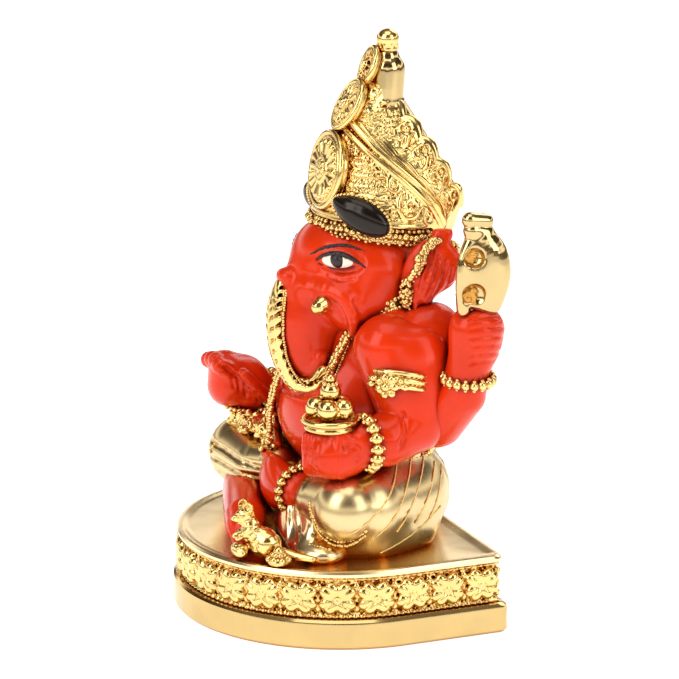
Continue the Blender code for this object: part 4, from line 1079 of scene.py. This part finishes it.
def build_arms():
    for side, word in SIDES:
        clay = clay_for("upper_%s_arm" % word, 0.24, 2.6)
        clay.limb(((side * 12.4, 11.5, 43.2, 5.0), (side * 15.8, 14.2, 31.8, 4.3),
                   (side * 20.2, 16.3, 36.8, 3.7), (side * 21.0, 17.0, 41.5, 3.3)), soft=2.0)
        clay.balls(((side * 13.4, 14.4, 44.8), (4.0, 4.6, 4.9), 3.0),
            ((side * 21.4, 18.0, 45.6), (3.9, 4.0, 5.2), 1.2),
            ((side * 22.0, 17.9, 47.2), (3.4, 4.2, 3.6), 0.8))
        finger(clay, [(side * 21.4, 15.0, 42.2), (side * 21.8, 14.6, 45.6), (side * 21.4, 15.2, 48.8)], 1.2,
            soft=1.1)
        for index in range(6):
            height = 49.4 - 1.35 * index
            score(clay, [(23.6, height - 0.2), (25.4, height + 0.2), (27.4, height), (29.4, height - 0.7)],
                0.16, side, soft=0.35)
        clay.keep(2, 50.4, above=False)
        score(clay, [(17.2, 34.8), (18.0, 31.6), (18.4, 28.6)], 0.32, side, soft=0.7)
        clay.keep(1, span("upper_%s_arm" % word)[1][1] + 0.8, above=False)
        show_clay("upper_%s_arm_enamel" % word, clay, "upper_%s_arm" % word, "red_enamel")
    left = clay_for("lower_left_arm", 0.22, 2.4)
    left.limb(((13.0, 7.0, 43.2, 5.2), (16.2, 10.0, 31.8, 4.6), (17.2, 5.0, 30.0, 4.1),
               (16.8, 1.6, 29.6, 3.5)), soft=2.0)
    left.balls(((16.2, 11.8, 38.4), (3.9, 4.8, 8.6), 3.0), ((15.6, -2.0, 28.0), (3.7, 5.0, 3.9), 1.2))
    for index in range(6):
        share = index / 5
        x, y = 18.4 - 4.0 * share, -3.0 - 3.6 * share
        finger(left, [(x - 1.4, y + 1.0, 25.0), (x, y, 26.0), (x + 0.3, y - 0.3, 28.4),
            (x - 0.5, y + 0.1, 31.0)], 0.86, soft=0.26)
    for index in range(6):
        score(left, [(-1.8 + 0.55 * index, 25.4), (-2.2 + 0.55 * index, 27.6),
                                   (-1.7 + 0.55 * index, 30.0)], 0.16, soft=0.2)
    finger(left, [(17.8, 0.2, 29.6), (18.2, -1.6, 31.0), (17.0, -3.0, 31.9)], 1.25)
    for turn in (0.8, 1.5):
        score(left, [(6.2 + turn * cos(a), 29.2 + turn * sin(a)) for a in
                                   np.linspace(-1.2, 2.6, 10)], 0.24, soft=0.3)
    score(left, [(13.6, 34.4), (14.2, 32.0), (13.4, 29.6)], 0.3, soft=0.7)
    show_clay("lower_left_arm_enamel", left, "lower_left_arm", "red_enamel")
    right = clay_for("lower_right_arm", 0.22, 2.4)
    right.limb(((-13.0, 7.0, 43.2, 5.2), (-17.2, 8.6, 31.8, 4.6), (-16.4, 3.0, 29.4, 3.8),
                (-15.4, -2.0, 30.0, 3.2)), soft=2.0)
    right.balls(((-16.2, 11.8, 38.4), (3.9, 4.8, 8.6), 3.0),
        ((-15.0, -5.6, 32.0), (4.1, 4.0, 5.0), 1.2, (30, 0, 0)),
        ((-15.0, -8.4, 34.2), (4.0, 3.0, 3.8), 0.8, (40, 0, 0)),
        ((-15.0, -9.0, 31.8), (4.0, 2.9, 3.2), 1.2))
    for index in range(4):
        x = -12.2 - 1.75 * index
        tip = 37.2 - 0.5 * abs(index - 1.3)
        finger(right, [(x, -6.4, 32.8), (x, -8.8, 34.6), (x, -10.2, 35.6), (x, -11.0, tip - 0.6)], 1.6,
            soft=0.22)
    finger(right, [(-12.4, -3.6, 30.4), (-10.9, -5.6, 32.0), (-11.0, -7.4, 34.2)], 1.4)
    for index in range(6):
        shift = 0.95 * index
        score(right, [(-15.6 + shift, 37.2 - 0.9 * shift), (-13.8 + shift, 36.2 - 0.9 * shift),
            (-12.8 + shift, 34.4 - 0.9 * shift), (-12.6 + shift, 32.6 - 0.9 * shift)], 0.27, soft=0.3)
    show_clay("lower_right_arm_enamel", right, "lower_right_arm", "red_enamel")


def build_bangles():
    rings = (("lower_left_bangle", (0.05, -1, -0.05), 3.9, 0.92), ("lower_right_bangle", (0.1, -0.85, 0.5),
        3.6, 0.85), ("upper_left_bangle", (0.1, 0, 1), 3.8, 0.74), ("upper_right_bangle", (-0.1, 0, 1), 3.8,
        0.74), ("left_anklet", (1.0, 0.25, 0.0), 3.7, 0.75))
    for node, axis, radius, bead in rings:
        centre = middle(node)
        count = int(FULL_TURN * radius / (bead * 1.75))
        balls = []
        turn = np.array(Vector(axis).normalized())
        for point in circle(centre, axis, radius, count):
            balls.append((point, bead * (1 + 0.08 * rng.uniform(-1, 1))))
            for way in (-1, 1):
                balls.append((point + turn * way * bead * 0.95, bead * 0.42))
        show_balls(node + "_beads", balls, node)
    for side, word in SIDES:
        node = word + "_armlet"
        centre = middle(node)
        axis = (side * 0.2, -0.22, -1)
        clay = clay_for(node, THIN, 2.6)
        loop = circle(centre, axis, 4.85, 49)
        for shift, wire in ((-1.0, 0.42), (0.0, 0.5), (1.0, 0.42)):
            move = np.array(Vector(axis).normalized()) * shift
            clay.limb([(p + move, wire) for p in loop + loop[:1]], soft=0.15)
        blossom = centre + np.array((side * 3.2, -3.6, 0.2))
        out, up = np.array(Vector((side * 0.7, -0.72, 0.0))), np.array((0, 0, 1.0))
        across = np.array(Vector((0.72, 0.7 * side, 0)))
        for angle in turns(7):
            clay.ball(blossom + across * 1.25 * cos(angle) + up * 1.35 * sin(angle), 0.72, soft=0.12)
        clay.ball(blossom + out * 0.6, 0.75, soft=0.1)
        for step in (-2.7, 2.7):
            clay.balls((blossom + across * step - out * 0.5, 0.62, 0.12),
                (blossom + across * step * 0.85 + up * 1.0, 0.5, 0.12))
        show_clay(node + "_blossom", clay, node, relax=1)


def build_held():
    clay = clay_for("noose", THIN, 2.6)
    cx = middle("noose")[0]
    clay.ball((cx, 18.2, 56.2), (2.3, 3.7, 6.3), soft=0.1)
    clay.limb(smooth_trunk(((cx, 18.4, 61.2, 1.5), (cx + 0.3, 20.0, 59.0, 1.9), (cx + 0.4, 20.6, 55.6, 2.0),
                            (cx, 19.6, 51.2, 1.6))), soft=1.4)
    clay.limb(smooth_trunk(((cx, 16.4, 61.4, 1.1), (cx + 0.6, 14.6, 58.6, 0.8), (cx + 0.6, 14.2, 54.6, 0.75),
                            (cx, 15.0, 50.6, 1.0))), soft=0.8)
    for y, z, size in ((16.0, 58.8, 1.6), (15.9, 52.9, 2.0)):
        for side in (-1, 1):
            clay.ball((cx + side * 1.95, y, z), (1.5, size, size), soft=0.25, press=True)
            floor = Clay((cx - 3.4, y - 3, z - 3), (cx + 3.4, y + 3, z + 3), THIN)
            floor.ball((cx + side * 0.05, y, z), (0.8, size, size), soft=0.1)
            for _ in range(26):
                a, r = rng.uniform(0, 6.28), size * 0.8 * math.sqrt(rng.random())
                floor.ball((cx + side * 0.75, y + r * cos(a), z + r * sin(a)), rng.uniform(0.2, 0.34),
                           soft=0.15)
            # The recess floors take the dark, painted-shade copy of the gold plate.
            show_clay("noose_recess_%d_%d" % (int(z), side + 1), floor, relax=1, look=RECESS_SHADE_GOLD)
    clay.limb(((cx, 16.4, 62.6, 1.4), (cx, 18.6, 62.2, 1.3)), soft=0.4)
    clay.limb(((cx, 16.0, 64.2, 1.25), (cx, 18.6, 63.9, 1.15)), soft=0.15)
    show_clay("noose_loop", clay, "noose", look=SHADED_MIRROR_GOLD)
    goad = clay_for("goad", THIN, 2.2)
    goad.limb(((-22.2, 17.2, 44.0, 0.9), (-22.6, 17.4, 50.4, 1.2), (-22.8, 17.6, 63.4, 1.0)), soft=0.1)
    goad.limb(smooth_trunk(((-22.8, 17.4, 60.0, 1.1), (-23.2, 15.2, 60.4, 1.0), (-23.4, 13.6, 59.0, 0.9),
                            (-23.4, 13.2, 56.4, 0.6))), soft=0.6)
    goad.ball((-22.8, 17.6, 64.0), (1.2, 1.2, 1.8), soft=0.4)
    for height in (52.0, 54.0, 57.6):
        goad.ball((-22.7, 17.5, height), (1.6, 1.6, 0.5), soft=0.2)
    show_clay("goad_hook", goad, "goad")
    low, high = span("sweet_bowl")
    bx, by = (low[0] + high[0]) / 2, (low[1] + high[1]) / 2
    bowl = Clay(low - 1.4, high + 1.4, THIN)
    bowl.ball((bx, by, high[2] - 0.2), (4.0, 4.0, 3.0), soft=0.05)
    bowl.keep(2, high[2] - 0.7, above=False)
    for radius, height, wire in ((4.1, high[2] - 0.4, 0.48), (3.7, high[2] - 1.5, 0.42)):
        bowl.limb(hoop((bx, by, height), radius, wire, 41), soft=0.15)
    show_clay("sweet_bowl_rim", bowl, "sweet_bowl")
    base = high[2]
    balls = [((bx, by, base + 3.9), 1.65), ((bx, by, base + 5.9), 0.8),
             ((bx, by, base + 0.9), (3.0, 3.0, 1.4))]
    for angle in turns(9):
        balls.append(((bx + 0.95 * cos(angle), by + 0.95 * sin(angle), base + 5.2), 0.36))
    for angle in turns(5, 0.55):
        balls.append(((bx + 2.2 * cos(angle), by + 2.2 * sin(angle), base + 1.5), 1.7))
    for _ in range(60):
        angle = rng.uniform(0, FULL_TURN)
        reach = rng.uniform(1.3, 3.3)
        balls.append(((bx + reach * cos(angle), by + reach * sin(angle),
                       base + 3.6 - 0.95 * reach + rng.uniform(0, 0.8)), rng.uniform(0.32, 0.52)))
    show_balls("sweets_heap", balls, "sweets")


def build_mouse():
    clay = clay_for("mouse", 0.15, 1.8)
    clay.balls(((13.2, -13.4, 14.8), (2.0, 2.3, 2.4), 0.05), ((12.3, -15.0, 16.6), (1.4, 1.45, 2.2), 0.7),
        ((11.6, -15.8, 18.7), (1.15, 1.6, 1.3), 0.5, (20, 0, 0)),
        ((11.3, -17.2, 18.4), (0.5, 0.7, 0.45), 0.4))
    for x in (10.6, 12.7):
        clay.ball((x, -15.6, 20.2), (0.5, 0.85, 1.0), soft=0.2)
        clay.ball((x + 0.3, -15.9, 20.3), (0.4, 0.5, 0.6), soft=0.15, press=True)
    clay.ball((12.0, -16.8, 13.6), (2.0, 1.2, 1.2), soft=0.5)
    for step in (0, 1):
        clay.limb(((12.8 - 1.6 * step, -15.8, 16.4, 0.6), (12.4 - 1.2 * step, -17.2, 15.6, 0.45)), soft=0.3)
    clay.ball((14.4, -12.9, 14.6), (1.5, 2.0, 2.0), soft=0.3)
    clay.limb(((14.4, -11.6, 13.4, 0.9), (16.6, -9.4, 13.0, 0.7), (18.6, -7.4, 12.9, 0.5)), soft=0.4)
    for index in range(24):
        height = 13.6 + 0.28 * index
        score(clay, [(-12.6 + rng.uniform(0, 2), height), (-9 + rng.uniform(0, 1), height + 0.5)], 0.14,
            soft=0.15)
    clay.ball((12.4, -17.0, 19.1), 0.28, soft=0.1)
    clay.keep(2, span("plinth_tier")[1][2] - 0.6)
    show_clay("mouse_cast", clay, "mouse", relax=1)
    centre = middle("mouse_sweets")
    balls = [(centre + (0, 0, 0.5), 0.85), (centre + (0, 0, -0.9), (1.9, 1.9, 0.9))]
    for index in range(14):
        angle = FULL_TURN * index / 7
        reach = 1.45 if index < 7 else 0.8
        balls.append((centre + (reach * cos(angle), reach * sin(angle), -0.6 if index < 7 else 0.0),
                      0.6 * rng.uniform(0.8, 1.1)))
    show_balls("mouse_sweets_heap", balls, "mouse_sweets")


def build_cords():
    half = ((5.9, -1.2, 36.4), (6.8, 0.4, 39.2), (7.4, 1.6, 42.2), (8.2, 3.0, 45.4), (9.2, 4.6, 47.0),
            (11.4, 8.6, 49.4), (10.4, 14.0, 50.4), (5.4, 17.2, 50.6), (0.0, 18.0, 50.6))
    route = list(half) + [(-x, y, z) for x, y, z in reversed(half[:-1])]
    balls = string_of_beads(route, 0.68, 1.35, 0.2)
    balls += string_of_beads([(x * 1.06, y - 0.5, z - 0.7) for x, y, z in route], 0.46, 1.3, 0.3)
    balls += string_of_beads([(x * 1.02, y - 0.2, z + 0.75) for x, y, z in route], 0.42, 1.5, 0.2)
    show_balls("necklace_beads", balls, "necklace")
    balls = []
    for shift in (-0.5, 0.4):
        balls += string_of_beads([(-1.6 + shift, -4.8, 37.6), (-2.4 + shift, -5.7, 34.0),
            (-3.4 + shift, -6.0, 30.6), (-4.6 + shift, -5.6, 27.0)], 0.42, 1.3, 0.08)
    show_balls("thread_strands", balls, "sacred_thread")


# Floor, lights and camera

def look_from(azimuth, elevation):
    a, e = radians(azimuth), radians(elevation)
    return Vector((sin(a) * cos(e), -cos(a) * cos(e), sin(e)))


def build_studio():
    mesh = bpy.data.meshes.new("studio_floor")
    mesh.from_pydata([(-6, -6, 0), (6, -6, 0), (6, 6, 0), (-6, 6, 0)], [], [(0, 1, 2, 3)])
    floor = put("studio_floor", mesh)
    material = bpy.data.materials.new("floor_paper")
    material.use_nodes = True
    set_inputs(material.node_tree.nodes["Principled BSDF"], {
        "Base Color": (0.92, 0.92, 0.92, 1), "Roughness": 0.7, "Specular IOR Level": 0.1,
        "Emission Color": (1, 1, 1, 1), "Emission Strength": 0.78})
    mesh.materials.append(material)
    world = bpy.data.worlds.new("studio")
    bpy.context.scene.world = world
    world.use_nodes = True
    tree = world.node_tree
    split = add_node(tree, "SeparateXYZ")
    tree.links.new(add_node(tree, "TexCoord").outputs["Generated"], split.inputs[0])
    ramp = add_node(tree, "ValToRGB")
    tree.links.new(split.outputs["Z"], ramp.inputs["Fac"])
    tree.links.new(ramp.outputs["Color"], tree.nodes["Background"].inputs["Color"])
    stops = ((0.0, (0.42, 0.35, 0.27)), (0.12, (0.20, 0.15, 0.11)), (0.25, (3.6, 3.45, 3.2)),
             (0.38, (0.20, 0.15, 0.11)), (0.60, (0.12, 0.09, 0.07)), (1.0, (0.60, 0.55, 0.48)))
    while len(ramp.color_ramp.elements) < len(stops):
        ramp.color_ramp.elements.new(0.5)
    for element, (position, colour) in zip(ramp.color_ramp.elements, stops):
        element.position, element.color = position, colour + (1,)
    tree.nodes["Background"].inputs["Strength"].default_value = 0.62
    bpy.context.scene.view_settings.view_transform = "Standard"
    aim = Vector((0, 0, 0.042))
    for name, azimuth, elevation, distance, size, power in (
            ("key", 20, 38, 0.55, (0.30, 0.40), 1.40), ("fill", 118, 30, 0.55, (0.26, 0.42), 0.85),
            ("top", 60, 82, 0.55, (0.36, 0.36), 0.75), ("back", 215, 40, 0.6, (0.3, 0.3), 0.75)):
        light = bpy.data.lights.new(name, "AREA")
        light.shape, light.energy = "RECTANGLE", power
        light.size, light.size_y = size
        item = put(name, light)
        item.location = aim + distance * look_from(azimuth, elevation)
        item.rotation_euler = (aim - item.location).to_track_quat("-Z", "Y").to_euler()


def build_camera():
    azimuth, elevation, distance = 67.98, 14.18, 0.450
    back = look_from(azimuth, elevation)
    right = Vector((cos(radians(azimuth)), sin(radians(azimuth)), 0))
    up = back.cross(right)
    camera = bpy.data.cameras.new("camera")
    camera.sensor_width, camera.lens = 36, 153.94
    item = put("camera", camera)
    item.location = Vector((0, 0, 0.045)) + right * 0.00412 + up * -0.00281 + back * distance
    item.rotation_euler = Matrix((right, up, back)).transposed().to_euler()
    bpy.context.scene.camera = item


for build in (build_camera, build_plinth, build_torso, build_dhoti, build_front_cloth, build_feet,
        build_head, build_ears, build_tusks, build_crown, build_arms, build_bangles, build_held, build_mouse,
        build_cords):
    build()
show_balls("cast_trim", TRIM)
build_studio()
